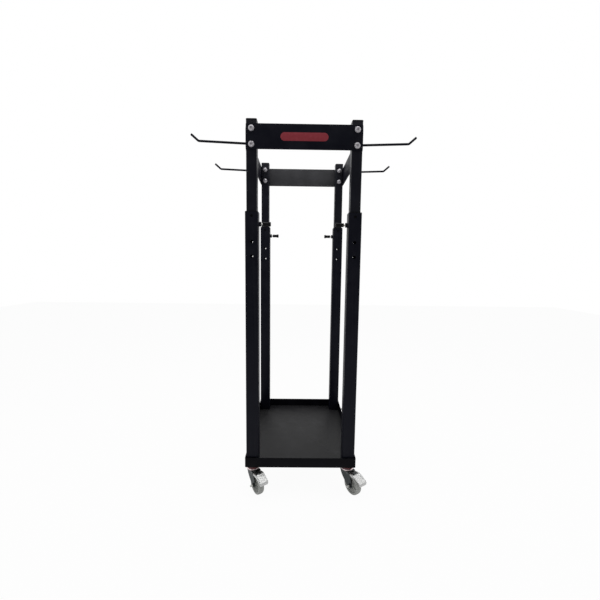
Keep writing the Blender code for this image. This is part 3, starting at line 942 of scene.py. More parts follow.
@dataclass
class Uprights:
    """The outer posts with their bosses and guide bushes, and the tubes that slide in them.

    Attributes:
        wall: Wall of the outer post.
        corner: Outside corner radius of a post.
        tube_wall: Wall of a sliding tube.
        tube_corner: Outside corner radius of a sliding tube.
        rim: Width of broken edges at holes and ends.
        spare_hole: Diameter of the spare holes in a post's front face.
        far_hole: Diameter of them in its rear face; the photo shows only a little light through.
        spare_drops: Their distances below the post's top.
        peg_drop: Distance of the bush's pegs below the post's top.
        peg_hole: Diameter of the holes that the pegs snap into.
        peg_sink: How far the pegs lie below the flange's face.
        sleeve: Half the outside width of the bush's sleeve.
        gap: Clearance of the bush to the tube and of its flange to the post.
        lock_drop: Distance of the lock below the post's top.
        lock_pitch: Distance between the lock holes.
        lock_hole: Their diameter.
        lock_count: How many there are in a tube.
        lock_drill: Length of the drill's path through the tube's wall.
        least_bore: Smallest corner radius inside a tube.
        boss: Profile of the lock's welded boss, from the post's face.
    """

    wall: float = 0.0025
    corner: float = 0.0045
    tube_wall: float = 0.002
    tube_corner: float = 0.0038
    rim: float = 0.0004
    spare_hole: float = 0.012
    far_hole: float = 0.0065
    spare_drops: Span = (0.110, 0.165)
    peg_drop: float = 0.015
    peg_hole: float = 0.0106
    peg_sink: float = 0.0012
    sleeve: float = 0.0222
    gap: float = 0.0003
    lock_drop: float = 0.043
    lock_pitch: float = 0.060
    lock_hole: float = 0.0092
    lock_count: int = 4
    lock_drill: float = 0.012
    least_bore: float = 0.0012
    boss: Stations = ((11.6, -0.4), (10.4, 0.5), (9.4, 1.3), (9.0, 2.4), (9.0, 8.3), (8.4, 9.0),
                      (4.6, 9.0), (4.3, 8.6), (4.3, -0.4))

    def build(self) -> None:
        """Build the four uprights."""
        for corner in Corner:
            self.post(corner)
            self.bush(corner)
            self.tube(corner)

    def drill(self, diameter: float, length: float, middle: Vector, direction: Vector) -> Skin:
        """A drill's path as a solid, to cut with."""
        rings = [round_ring(diameter / 2, side * length / 2, 32) for side in (-1, 1)]
        return placed(loft(rings), aimed(middle, direction))

    def square_tube(self, half: float, wall: float, low: float, high: float, corner: float) -> Skin:
        """Build a square hollow section about Z.

        Args:
            half: Half its outside width.
            wall: Its wall.
            low: Height of its lower end.
            high: Height of its upper end.
            corner: Its outside corner radius.

        Returns:
            Its skin.
        """
        inner, bore = half - wall, max(corner - wall, self.least_bore)
        return loft(square_rings(((half, low, corner), (half, high, corner), (inner, high, bore),
                                  (inner, low, bore))), closed=True)

    def post(self, corner: Corner) -> None:
        """Build a post with its holes and the welded boss of its lock.

        Args:
            corner: The corner that it stands at.
        """
        low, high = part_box("post_" + corner.tag)
        half = (high.y - low.y) / 2
        tube = self.square_tube(half, self.wall, low.z, high.z, self.corner)
        along = Vector((0, 1, 0))
        drills = []
        for drop in self.spare_drops:
            spot = Vector((0, 0, high.z - drop))
            for hole, shift in ((self.spare_hole, -half), (self.far_hole, half)):
                drills.append(self.drill(hole, half, spot + along * shift, along))
        drills.append(self.drill(self.peg_hole, 3 * half, Vector((0, 0, high.z - self.peg_drop)), along))
        skin = placed(carved(tube, drills, self.rim), Matrix.Translation(corner.axis))
        inward = Vector((-corner.value[0], 0, 0))
        seat = corner.axis + inward * half + Vector((0, 0, high.z - self.lock_drop))
        boss = placed(lathe(self.boss, 40, closed=True), aimed(seat, inward))
        piece("outer_post_" + corner.tag, merged([skin, boss]), FRAME_COAT, "base",
              ["post_" + corner.tag])

    def bush(self, corner: Corner) -> None:
        """Build a guide bush: sleeve, flange on the post's top and two snap pegs.

        Args:
            corner: The corner that it stands at.
        """
        low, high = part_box("guide_bush_" + corner.tag)
        tube_low, tube_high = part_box("slide_tube_" + corner.tag)
        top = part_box("post_" + corner.tag)[1].z
        seat = top + self.gap
        rim = (high.x - low.x) / 2
        inner = (tube_high.x - tube_low.x) / 2 + self.gap
        # Half width, height and corner radius: up the outside, over the flange, down the bore
        sleeve = square_rings((
            (self.sleeve, low.z, 0.002), (self.sleeve, seat, 0.002), (rim, seat, 0.0042),
            (rim, high.z - 0.0008, 0.0042), (rim - 0.0003, high.z - 0.0002, 0.0040),
            (rim - 0.0009, high.z, 0.0036), (inner + 0.0006, high.z, 0.0036),
            (inner, high.z - 0.0006, 0.0032), (inner, low.z, 0.0032)))
        skins = [loft(sleeve, closed=True)]
        for side in (-1, 1):
            peg = lathe(((5.0, -3.0), (5.0, -0.7), (4.7, -0.3), (4.0, 0.0)), 32)
            spot = Vector((0, side * (rim - self.peg_sink), top - self.peg_drop))
            skins.append(placed(peg, aimed(spot, Vector((0, side, 0)))))
        skin = placed(merged(skins), Matrix.Translation(corner.axis))
        piece("nylon_bush_" + corner.tag, skin, BLACK_NYLON, "base", ["guide_bush_" + corner.tag])

    def tube(self, corner: Corner) -> None:
        """Build a sliding tube with its row of lock holes.

        Args:
            corner: The corner that it stands at.
        """
        low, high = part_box("slide_tube_" + corner.tag)
        half = (high.x - low.x) / 2
        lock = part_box("post_" + corner.tag)[1].z - self.lock_drop
        inward = Vector((-corner.value[0], 0, 0))
        spots = [inward * half + Vector((0, 0, lock + i * self.lock_pitch))
                 for i in range(self.lock_count)]
        drills = [self.drill(self.lock_hole, self.lock_drill, spot, inward) for spot in spots]
        tube = self.square_tube(half, self.tube_wall, low.z, high.z, self.tube_corner)
        skin = placed(carved(tube, drills, self.rim), Matrix.Translation(corner.axis))
        piece("inner_tube_" + corner.tag, skin, TUBE_COAT, "upper_frame", ["slide_tube_" + corner.tag])


@dataclass
class TopFrame:
    """The four plates that tie the sliding tubes, their bolts, the caps and the red bar.

    Attributes:
        repeater: Sets the bolts.
        welder: Lays the beads at the side plates.
        edge: Softened edge of a plate.
        plate_corner: Corner radius of the front and back plates.
        side_corner: Corner radius of the side plates.
        bar: Width and height of the plain red bar.
        bar_skin: Thickness of it.
        cap_overhang: How far a cap stands wider than its CAD node on each side.
        cap_wall: Distance of a cap's plug from its side.
        crown: Radius of a cap's rounded top.
        bolt_gap: Gap under a bolt's washers in millimetres.
        bolt_turn: Turn in radians from one bolt to the next, as hand tightening leaves them.
        bead_gap: How far a weld's middle lies outside the plate's inner face and beyond its end.
    """

    repeater: Repeater
    welder: Welder
    edge: float = 0.0007
    plate_corner: float = 0.003
    side_corner: float = 0.016
    bar: Span = (0.176, 0.030)
    bar_skin: float = 0.0003
    cap_overhang: float = 0.0005
    cap_wall: float = 0.0024
    crown: float = 0.0042
    bolt_gap: float = 0.2
    bolt_turn: float = 0.7
    bead_gap: Span = (0.0006, 0.0005)

    def build(self) -> None:
        """Build plates, bar, bolts, caps and welds."""
        for name in ("front_plate", "back_plate", "side_plate_left", "side_plate_right"):
            self.plate(name)
        self.red_bar()
        self.bolts()
        for corner in Corner:
            self.cap(corner)
        self.welds()

    def plate(self, name: str) -> None:
        """Build a plate in the box of its CAD node.

        Args:
            name: The node's name.
        """
        low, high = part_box(name)
        middle, size = (low + high) / 2, high - low
        if name.startswith("side"):
            skin = slab(size.z / 2, size.y / 2, size.x, self.side_corner, self.edge)
            turn = Matrix.Rotation(math.pi / 2, 4, "Y")
        else:
            skin = slab(size.x / 2, size.z / 2, size.y, self.plate_corner, self.edge)
            turn = Matrix.Rotation(math.pi / 2, 4, "X")
        middle -= turn @ Vector((0, 0, min(size.x, size.y) / 2))
        # The back plate gets the coat with painted light on its inner face
        finish = BACK_PLATE_PAINTED_LIGHT_COAT if name == "back_plate" else FRAME_COAT
        skin = placed(skin, Matrix.Translation(middle) @ turn)
        piece("tie_" + name, skin, finish, "upper_frame", [name])

    def red_bar(self) -> None:
        """Print the plain red bar on the front plate."""
        low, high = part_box("front_plate")
        width, height = self.bar
        edge = self.bar_skin / 3
        skin = slab(width / 2, height / 2, self.bar_skin, height / 2 - edge, edge)
        place = Matrix.Translation((0, low.y + edge / 2, (low.z + high.z) / 2))
        piece("front_red_bar", placed(skin, place @ Matrix.Rotation(math.pi / 2, 4, "X")), RED_PRINT,
              "upper_frame")

    def bolt(self, inner: float, outer: float) -> Skin:
        """One bolt about Z, with its head on the far side.

        Args:
            inner: Where the nut's washer meets the tube, in millimetres along Z.
            outer: Where the head's washer meets the plate.

        Returns:
            Head with a hexagon recess, two washers, shank and domed nut.
        """
        washer = ((11.0, 0.0), (11.0, 1.5), (10.7, 1.8))
        head = washer + ((10.0, 1.8), (9.9, 3.2), (9.2, 4.6), (7.9, 5.7), (6.2, 6.3), (4.4, 6.5))
        recess = ((3.0, 6.3), (3.0, 4.2))
        nut_foot, nut_flats = washer + ((7.6, 1.8),), ((7.9, 2.0), (7.9, 5.6))
        dome, shank = ((7.4, 6.2), (6.9, 7.4), (5.2, 8.4), (2.6, 8.9)), ((5.0, 0.0),)
        rings = []
        for start, way, stations, flats in (
                (inner, -1, dome[::-1], 0), (inner, -1, nut_flats[::-1], 6),
                (inner, -1, nut_foot[::-1], 0), (inner, 1, shank, 0), (outer, 1, shank, 0),
                (outer, 1, head, 0), (outer, 1, recess, 6)):
            rings += turned([(r, start + way * z) for r, z in stations], flats=flats)
        return loft(rings)

    def bolts(self) -> None:
        """Set the eight bolts through plates and tubes."""
        names = [f"plate_bolt_{corner.tag}_{level}"
                 for corner in Corner for level in ("lower", "upper")]
        tube_low, tube_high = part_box("slide_tube_back_left")
        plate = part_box("back_plate")[1].y
        middle = (tube_low.y + tube_high.y) / 2
        skin = self.bolt((tube_low.y - middle) / MM - self.bolt_gap,
                         (plate - middle) / MM + self.bolt_gap)
        places = []
        for i, name in enumerate(names):
            low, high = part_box(name)
            side = list(Corner)[i // 2].value[1]
            spot = Vector(((low.x + high.x) / 2, side * middle, (low.z + high.z) / 2))
            spin = Matrix.Rotation(self.bolt_turn * i, 4, "Z")
            places.append(aimed(spot, Vector((0, side, 0))) @ spin)
        copies = self.repeater.run(skin, places, BOLT_ZINC)
        piece("plate_bolts", copies, BOLT_ZINC, "upper_frame", names)

    def cap(self, corner: Corner) -> None:
        """Build a push-in cap with a softly rounded top.

        Args:
            corner: The corner that it stands at.
        """
        low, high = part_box("post_cap_" + corner.tag)
        half = (high.x - low.x) / 2 + self.cap_overhang
        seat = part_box("slide_tube_" + corner.tag)[1].z + 0.0003
        plug = half - self.cap_wall
        # Half width, height and corner radius: up the plug, out over the tube's end, round the top
        stations = [(plug, low.z, 0.0015), (plug, seat, 0.0015), (half - 0.0002, seat, 0.0035),
                    (half, seat + 0.0003, 0.0037)]
        for turn in turns(math.pi / 2, 5):
            inset = self.crown * (1 - math.cos(turn))
            z = high.z - 0.0003 - self.crown + self.crown * math.sin(turn)
            stations.append((half - inset, z, max(0.0037 - inset * 0.3, 0.001)))
        stations.append((half * 0.5, high.z, 0.002))
        skin = placed(loft(square_rings(stations)), Matrix.Translation(corner.axis))
        piece("tube_cap_" + corner.tag, skin, BLACK_NYLON, "upper_frame", ["post_cap_" + corner.tag])

    def welds(self) -> None:
        """Weld the ends of the side plates to the sliding tubes."""
        lines = []
        across, along = self.bead_gap
        for side, name in ((-1, "side_plate_left"), (1, "side_plate_right")):
            low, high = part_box(name)
            x = side * (min(abs(low.x), abs(high.x)) + across)
            for y in (low.y - along, high.y + along):
                ends = (low.z + self.side_corner, high.z - self.side_corner)
                lines.append(tuple(Vector((x, y, z)) for z in ends))
        self.welder.bead("side_plate_welds", lines, "upper_frame")


@dataclass
class Hooks:
    """The four bent rods that the mats hang from.

    Attributes:
        sweep: Runs the rods.
        welder: Lays the ring of weld at each root.
        radius: The rod's radius.
        root_height: Height of the centre line at the plate above the hook's lowest point.
        reach: Length from the plate to the bend's corner.
        slope: Rise of the run in degrees.
        rise: Rise of the tip in degrees.
        tip: Length of the tip from the bend's corner.
        bend: Centre-line radius of the bend.
        weld_reach: Distance from the root to the middle of its weld.
        weld_sides: Short lines in the weld's ring.
        weld_gap: Distance of the weld's middle from the rod's face.
    """

    sweep: RodSweep
    welder: Welder
    radius: float = 0.0045
    root_height: float = 0.0065
    reach: float = 0.1995
    slope: float = 2.2
    rise: float = 41.0
    tip: float = 0.0380
    bend: float = 0.012
    weld_reach: float = 0.0036
    weld_sides: int = 12
    weld_gap: float = 0.0006

    def build(self) -> None:
        """Build all four hooks and their welds."""
        paths, swells, nodes, rings = [], [], [], []
        for corner in Corner:
            low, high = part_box("hook_" + corner.tag)
            nodes.append("hook_" + corner.tag)
            side = corner.value[0]
            start = min(abs(low.x), abs(high.x))
            root = Vector((side * start, (low.y + high.y) / 2, low.z + self.root_height))
            path, swell = self.path(root, side)
            paths.append(path)
            swells.append(swell)
            rings += self.root_ring(root + Vector((side * self.weld_reach, 0, 0)))
        rods = self.sweep.run(paths, swells, self.radius, FRAME_COAT)
        piece("mat_hooks", rods, FRAME_COAT, "upper_frame", nodes)
        self.welder.bead("hook_root_welds", rings, "upper_frame")

    def path(self, root: Vector, side: int) -> tuple[list[Vector], list[float]]:
        """Centre line of one hook.

        Args:
            root: Where it starts, inside the side plate.
            side: -1 for the left of the cart and 1 for the right.

        Returns:
            Its points and a radius factor for each.
        """
        slope, rise = math.radians(self.slope), math.radians(self.rise)
        run, lift = (Vector((math.cos(lean), 0, math.sin(lean))) for lean in (slope, rise))
        corner = run * self.reach
        trim = self.bend * math.tan((rise - slope) / 2)
        centre = corner - run * trim + self.bend * Vector((-run.z, 0, run.x))
        points = [Vector((0, 0, 0))] + [corner * share for share in (0.25, 0.5, 0.75)]
        points += [centre + self.bend * Vector((math.sin(slope + t), 0, -math.cos(slope + t)))
                   for t in turns(rise - slope, 12)]
        tip = ((0.0012, 1.0), (0.0006, 0.95), (0.0002, 0.86), (0.0, 0.74))
        swells = [1.0] * len(points) + [factor for _, factor in tip]
        points += [corner + lift * self.tip - lift * back for back, _ in tip]
        return [root + Vector((side * p.x, 0, p.z)) for p in points], swells

    def root_ring(self, middle: Vector) -> list[tuple[Vector, Vector]]:
        """Ring a hook's root with short lines, for its weld.

        Args:
            middle: Middle of the rod where it meets the plate.

        Returns:
            The lines, as pairs of ends.
        """
        spots = [middle + (self.radius + self.weld_gap) * Vector((0, math.cos(t), math.sin(t)))
                 for t in turns(2 * math.pi, self.weld_sides)]
        return list(zip(spots, spots[1:]))


@dataclass
class Locks:
    """The pull knobs that lock the height, with their pins.

    Attributes:
        flutes: Number of finger flutes round a knob.
        flute_depth: Their depth.
        knob: Distance of the knob's foot from the post.
        length: The knob's length.
        pin: The pin's profile, from the post's face.
        grip: The knob's profile as radius in mm, share of its length, and 1 where it is fluted.
    """

    flutes: int = 10
    flute_depth: float = 0.0007
    knob: float = 0.015
    length: float = 0.031
    pin: Stations = ((2.8, -4.5), (4.0, -3.0), (4.0, 11.6), (3.4, 11.9), (3.4, 12.9), (4.0, 13.2),
                     (4.0, 16.5))
    grip: Sequence[tuple[float, float, int]] = (
        (6.4, 0.0, 0), (7.3, 0.02, 0), (7.6, 0.05, 0), (7.2, 0.30, 0), (7.0, 0.50, 0), (7.4, 0.66, 0),
        (8.4, 0.73, 1), (9.0, 0.77, 1), (9.0, 0.91, 1), (8.7, 0.95, 1), (7.9, 0.98, 0), (6.0, 0.995, 0),
        (2.0, 1.0, 0))

    def build(self) -> None:
        """Build the four knobs and pins."""
        for corner in Corner:
            low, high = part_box("lock_plunger_" + corner.tag)
            side = corner.value[0]
            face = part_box("post_" + corner.tag)
            wall = side * (abs(corner.axis.x) - (face[1].y - face[0].y) / 2)
            seat = Vector((wall, corner.axis.y, (low.z + high.z) / 2))
            place = aimed(seat, Vector((-side, 0, 0)))
            body = "plunger_" + corner.tag
            piece("pull_knob_" + corner.tag, placed(self.knob_skin(), place), BLACK_NYLON, body,
                  ["lock_plunger_" + corner.tag])
            piece("lock_pin_" + corner.tag, placed(lathe(self.pin, 32), place), BRIGHT_ZINC, body)

    def knob_skin(self) -> Skin:
        """A knob about Z: a slim grip that flares to a fluted head."""
        return loft([round_ring(radius * MM, self.knob + self.length * share, 60, self.flutes * fluted,
                                self.flute_depth * fluted) for radius, share, fluted in self.grip])


@dataclass
class Castors:
    """Four braked swivel castors, each drawn about its own axis and trailing along +X.

    Attributes:
        repeater: Sets the ribs of the wheels.
        wheel: The wheel's radius.
        fork_sheet: Sheet of the pressed fork.
        pedal_sheet: Sheet of the pedal.
        pad_half: Half the width of the pedal's pad.
        pad_length: Length of the pad from its back edge to where the lip starts.
        lip: Length of the bent lip.
        slot: Ends of the slot beside the pad's outer rail, in mm from its back edge.
        slot_columns: Columns of the pad's grid that the slot takes up.
        columns: Columns of that grid.
        pad_slope: Slope of the pad in degrees.
        arm_slope: Rise of the arms in degrees.
        joggle: Where the arms' joggle starts and ends in X, in mm.
        flange: Width and sheet of the arms' inner flange, in mm.
        lip_turn: How much steeper the lip is than the pad, in degrees.
        lip_taper: How much narrower its tip is on each side, and over what length, in mm.
        rail: Height of the pad's side rails, in mm.
        panel: Depth of the pad's panel, in mm.
        groove: Depth of the groove that runs through the slot, in mm.
        arc: Depth of the curved groove at the pad's back, in mm.
        bar: Height of the panel's bars and of the grip at the lip, in mm.
        shoe_mm: Half length, half width and thickness of the brake shoe.
        shoe_shift_mm: Place of its middle from the trunnion in X and Z.
        ribs: Number of ribs on each side of a wheel.
        rib_mm: Half length, half width and height of a rib.
        rib_place_mm: Place of its middle along the radius, and of its foot along the axle.
        pivot_mm: Place of the pedal's trunnion in X and Z.
        knee_mm: Where the arms meet the pad, in X and Z.
    """

    repeater: Repeater
    wheel: float = 0.040
    fork_sheet: float = 0.0025
    pedal_sheet: float = 0.0022
    pad_half: float = 0.019
    pad_length: float = 0.0405
    lip: float = 0.0145
    slot: Span = (12.5, 33.0)
    slot_columns: tuple[int, ...] = (31, 32)
    columns: int = 38
    pad_slope: float = 22.0
    arm_slope: float = 9.8
    joggle: Span = (33.0, 46.0)
    flange: Span = (3.4, 1.8)
    lip_turn: float = 62.0
    lip_taper: Span = (3.2, 8.0)
    rail: float = 1.5
    panel: float = 0.25
    groove: float = 0.5
    arc: float = 0.4
    bar: float = 0.14
    shoe_mm: Point = (17.0, 11.1, 2.2)
    shoe_shift_mm: Span = (19.5, 2.2)
    ribs: int = 8
    rib_mm: Point = (10.8, 1.1, 4.8)
    rib_place_mm: Span = (19.8, 4.4)
    pivot_mm: Span = (14.4, 84.0)
    knee_mm: Span = (55.0, 91.0)

    def build(self) -> None:
        """Build every castor about its own axis and set it under its post."""
        for corner in Corner:
            tag = corner.tag
            low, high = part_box("castor_wheel_" + tag)
            hub = (low + high) / 2 - corner.axis
            turn = Matrix.Rotation(math.atan2(hub.y, hub.x), 4, "Z")
            place = Matrix.Translation(corner.axis) @ turn
            middle = Matrix.Translation((math.hypot(hub.x, hub.y), 0, hub.z))
            axle = place @ middle @ Matrix.Rotation(-math.pi / 2, 4, "X")
            for name, skin, spot, finish, body, cad in (
                    ("swivel_head_", self.head(), place, FORK_ZINC, "base", "castor_head_"),
                    ("swivel_seal_", self.seal(), place, SEAL_PLASTIC, "base", ""),
                    ("pressed_fork_", self.fork(), place, FORK_ZINC, "swivel_" + tag, "castor_fork_"),
                    # The rim's zinc carries a painted glint and a painted pink reflection of the seal
                    ("swivel_rim_", self.rim(), place, RIM_PAINTED_GLINT_ZINC, "swivel_" + tag, ""),
                    ("axle_bolt_", self.axle(), axle, BRIGHT_ZINC, "swivel_" + tag, "castor_axle_"),
                    ("wheel_tread_", self.tread(), axle, WHEEL_RUBBER, "wheel_" + tag, "castor_wheel_"),
                    ("wheel_core_", self.core(), axle, WHEEL_CORE, "wheel_" + tag, ""),
                    ("axle_nuts_", self.nuts(), axle, FORK_ZINC, "swivel_" + tag, ""),
                    ("foot_pedal_", self.pedal(), place, PEDAL_ZINC, "pedal_" + tag, "brake_pedal_"),
                    ("brake_shoe_", self.shoe(), place, FORK_ZINC, "pedal_" + tag, "")):
                piece(name + tag, placed(skin, spot), finish, body, [cad + tag] if cad else ())
            self.wheel_ribs(tag, axle)

    def head(self) -> Skin:
        """Kingpin with its rivet head, bearing plate and stem.

        Returns:
            The skin, in the castor's frame.
        """
        return lathe(((3.0, 86.6), (5.6, 86.8), (7.4, 87.5), (8.0, 88.6), (8.0, 89.1), (5.0, 89.1),
                      (5.0, 98.1), (20.8, 98.1), (21.6, 98.8), (21.6, 105.6), (25.2, 105.8),
                      (25.8, 106.2), (25.9, 106.7), (25.7, 107.4), (25.2, 107.7), (6.0, 107.7),
                      (6.0, 132.0), (5.2, 133.5)), 64)

    def seal(self) -> Skin:
        """Maroon ring that keeps dust out of the ball race."""
        return lathe(((21.7, 98.3), (24.4, 98.2), (25.4, 98.9), (26.0, 100.4), (26.1, 102.2),
                      (25.8, 104.0), (24.8, 105.4), (21.7, 105.5)), 64, closed=True)

    def rim(self) -> Skin:
        """Rolled rim of the lower race, on the fork's crown; its finish carries a painted glint."""
        return lathe(((20.5, 92.3), (24.2, 92.2), (25.4, 92.9), (26.0, 94.2), (26.0, 95.8),
                      (25.4, 97.1), (24.2, 97.9), (20.5, 97.9)), 64, closed=True)

    def fork(self) -> Skin:
        """Pressed fork: a crown with a turned-down rear rim that runs into two cheeks.

        Returns:
            The skin, in the castor's frame.
        """
        # One side from the axle up and in over the crown: y, z, rear edge and front edge
        side = ((16.5, 28.6, 31.0, 41.5), (16.5, 33.0, 23.5, 46.6), (16.5, 40.0, 13.2, 48.2),
                (16.5, 48.0, 3.4, 45.6), (16.5, 57.0, -6.6, 41.8), (16.5, 67.0, -14.8, 37.6),
                (16.6, 80.0, -20.6, 32.4), (18.0, 86.5, -22.0, 29.6), (20.2, 90.0, -21.4, 27.6),
                (18.2, 91.9, -18.8, 26.6), (10.0, 92.0, -24.0, 27.2))
        middle = (0.0, 92.0, -26.0, 27.2)
        rows = []
        for y, z, back, front in (*((-y, *rest) for y, *rest in side), middle, *reversed(side)):
            drop = 4.5 if z > 91 else (2.0 if z > 88 else 0.0)
            spans = [back + (front - back) * share for share in (0.03, 0.25, 0.5, 0.75, 0.97)]
            rows.append([Vector((back - 1.2, y, z - drop)), *(Vector((x, y, z)) for x in spans),
                         Vector((front + 0.8, y, z - drop * 0.25))])
        obj = pressed(rows, self.fork_sheet, crease=0.7)
        smooth = obj.modifiers.new("smooth", "SUBSURF")
        smooth.levels = smooth.render_levels = 2
        return settled(obj)

    def axle(self) -> Skin:
        """Axle about Z, with the long bare end that stands out of its nut."""
        return lathe(((2.8, -31.7), (3.7, -31.2), (4.0, -30.4), (4.0, 22.6), (3.6, 23.0),
                      (2.6, 23.1)), 40)

    def nuts(self) -> Skin:
        """Hexagon nut and head of the axle, each on its washer.

        Returns:
            The skin about the axle.
        """
        skins = []
        for flip in (math.pi, 0.0):
            rings = turned(((8.0, 17.1), (8.0, 18.3)))
            rings += turned(((6.2, 18.4), (6.2, 21.4), (5.8, 21.9)), flats=6)
            rings += turned(((4.1, 21.9), (4.1, 17.1)))
            skins.append(placed(loft(rings, closed=True), Matrix.Rotation(flip, 4, "X")))
        return merged(skins)

    def tread(self) -> Skin:
        """Crowned tread with a fine parting line in the middle.

        Returns:
            The skin about the axle.
        """
        return self.mirrored(self.wheel / MM, (
            (-7.9, 10.9), (-6.9, 11.9), (-5.5, 12.0), (-2.9, 11.4), (-1.3, 9.9), (-0.4, 7.2), (-0.1, 4.0),
            (0.0, 1.0), (-0.2, 0.4)))

    def core(self) -> Skin:
        """Wheel body: hub, thin web and the rim inside the tread.

        Returns:
            The skin about the axle.
        """
        hub = ((4.3, 14.4), (8.0, 14.4), (8.4, 14.0), (8.8, 11.0), (9.8, 6.2), (11.0, 5.2))
        return self.mirrored(self.wheel / MM - 7.3, (
            (-3.6, 5.2), (-2.6, 6.0), (-2.0, 10.4), (-1.4, 11.2), (0.0, 11.3)), hub)

    def mirrored(self, radius: float, side: Stations, start: Stations = ()) -> Skin:
        """Turn a profile and its mirror image; the side's radii are steps from a radius in mm."""
        half = [*start, *((radius + step, y) for step, y in side)]
        return lathe(half + [(r, -y) for r, y in reversed(half)], 72, closed=True)

    def wheel_ribs(self, tag: str, axle: Matrix) -> None:
        """Set the radial ribs on both sides of a wheel's web.

        Args:
            tag: The corner that the castor stands at.
            axle: Place of the wheel's middle, with Z along the axle.
        """
        half_x, half_y, height = self.rib_mm
        rib = slab(half_x * MM, half_y * MM, height * MM, 0.6 * MM, 0.3 * MM)
        radius, foot = self.rib_place_mm
        outward = Matrix.Translation((radius * MM, 0, foot * MM))
        places = [axle @ Matrix.Rotation(flip, 4, "X")
                  @ Matrix.Rotation(2 * math.pi * (i + 0.5) / self.ribs, 4, "Z") @ outward
                  for flip in (0.0, math.pi) for i in range(self.ribs)]
        ribs = self.repeater.run(rib, places, WHEEL_CORE)
        piece("wheel_ribs_" + tag, ribs, WHEEL_CORE, "wheel_" + tag)

    def pad_line(self, steps: int) -> list[tuple[float, Vector, Vector]]:
        """The pad's long section, from its back edge to the tip of the lip.

        Args:
            steps: Number of steps along it.

        Returns:
            Distance in mm, point and upward normal of each station.
        """
        pad, total = self.pad_length / MM, (self.pad_length + self.lip) / MM
        x, z = self.knee_mm[0] - 3.5, self.knee_mm[1] - 0.6
        row = []
        for i in range(steps + 1):
            s = total * i / steps
            lean = -self.arm_slope + (self.arm_slope + self.pad_slope) * smooth_step(s, 1.0, 6.0)
            lean += self.lip_turn * smooth_step(s, pad - 0.5, pad + 7.5)
            angle = math.radians(lean)
            row.append((s, Vector((x, 0, z)), Vector((math.sin(angle), 0, math.cos(angle)))))
            x += math.cos(angle) * total / steps
            z -= math.sin(angle) * total / steps
        return row

    def pad_relief(self, s: float, across: float) -> float:
        """Pressed relief of the pad.

        Args:
            s: Distance along the pad in mm.
            across: Place across it, from -1 to 1.

        Returns:
            Height above the plain sheet in mm.
        """
        side = abs(across)
        rail = smooth_step(side, 0.80, 0.90) * (1 - smooth_step(s, 39.0, 44.0))
        inside = smooth_step(s, 13.0, 14.5) * (1 - smooth_step(s, 35.0, 36.5))
        panel = inside * (1 - smooth_step(side, 0.46, 0.60))
        groove = ridge(-across, 0.66, 0.06) * inside
        arc = ridge(s, 7.5 + 4.0 * (1 - (across / 0.7) ** 2), 1.3) * (1 - smooth_step(side, 0.60, 0.70))
        bars = sum(ridge(s, 18.0 + 4.4 * i, 1.1) for i in range(4)) * (1 - smooth_step(side, 0.32, 0.44))
        grip = sum(ridge(s, 38.4 + 2.3 * i, 0.5) for i in range(3)) * (1 - smooth_step(side, 0.62, 0.72))
        return (self.rail * rail - self.panel * panel - self.groove * groove - self.arc * arc
                + self.bar * bars + self.bar * grip)

    def pad(self) -> Skin:
        """Pressed pad with side rails, a ribbed panel, a slot beside one rail and a bent lip.

        Returns:
            The skin, in the castor's frame.
        """
        total = (self.pad_length + self.lip) / MM
        line = self.pad_line(60)
        taper, reach = self.lip_taper
        rows = []
        for s, middle, normal in line:
            half = self.pad_half / MM - taper * smooth_step(s, total - reach, total) ** 2
            row = []
            for j in range(self.columns + 1):
                across = -1 + 2 * j / self.columns
                row.append(middle + normal * self.pad_relief(s, across))
                row[-1].y = across * half
            rows.append(row)
        slot = [(i, j) for i, (s, _, _) in enumerate(line) if self.slot[0] < s < self.slot[1]
                for j in self.slot_columns]
        obj = pressed(rows, self.pedal_sheet, slot)
        soften(obj, 0.0004, 60)
        return settled(obj)

    def arm(self, side: int) -> Skin:
        """One upright arm of the pedal: an eye on the trunnion, a joggle past the cheek, then the pad.

        Args:
            side: -1 or 1 for its side of the wheel.

        Returns:
            The arm.
        """
        # From the eye to the pad: x, lower edge, upper edge and distance from the middle
        stations = ((9.7, 82.3, 85.7, 12.3), (10.4, 80.9, 87.1, 12.3), (12.0, 79.8, 88.2, 12.3),
                    (14.4, 79.3, 88.6, 12.3), (20.0, 79.9, 88.8, 12.3), (30.5, 81.2, 89.2, 12.4),
                    (33.0, 81.5, 89.4, 13.4), (36.0, 81.8, 89.7, 16.6), (38.5, 82.1, 90.0, 17.7),
                    (46.0, 82.9, 91.1, 17.8), (52.0, 83.6, 91.6, 17.8), (55.5, 84.0, 91.0, 17.8),
                    (60.0, 84.5, 88.6, 17.8), (66.0, 84.6, 86.0, 17.8))
        thick = self.pedal_sheet / MM / 2
        width, sheet = self.flange
        rings = []
        for x, low, high, y in stations:
            inner, outer = y - thick, y + thick
            # The last hundredth keeps the flange's points apart where it has no width
            flange = inner - width * smooth_step(x, *self.joggle) - 0.01
            corners = ((inner, low), (outer, low), (outer, high), (flange, high), (flange, high - sheet),
                       (inner, high - sheet))
            rings.append([Vector((x, side * across, z)) * MM for across, z in corners])
        return carved(loft(rings), [], 0.0004)

    def shoe(self) -> Skin:
        """Dull brake shoe that lies between the arms, over the wheel.

        Returns:
            The skin, in the castor's frame.
        """
        half_x, half_y, sheet = self.shoe_mm
        x, z = (place + shift for place, shift in zip(self.pivot_mm, self.shoe_shift_mm))
        rise = Matrix.Rotation(-math.radians(self.arm_slope), 4, "Y")
        skin = slab(half_x * MM, half_y * MM, sheet * MM, 1.5 * MM, 0.4 * MM)
        return placed(skin, Matrix.Translation((x * MM, 0, z * MM)) @ rise)

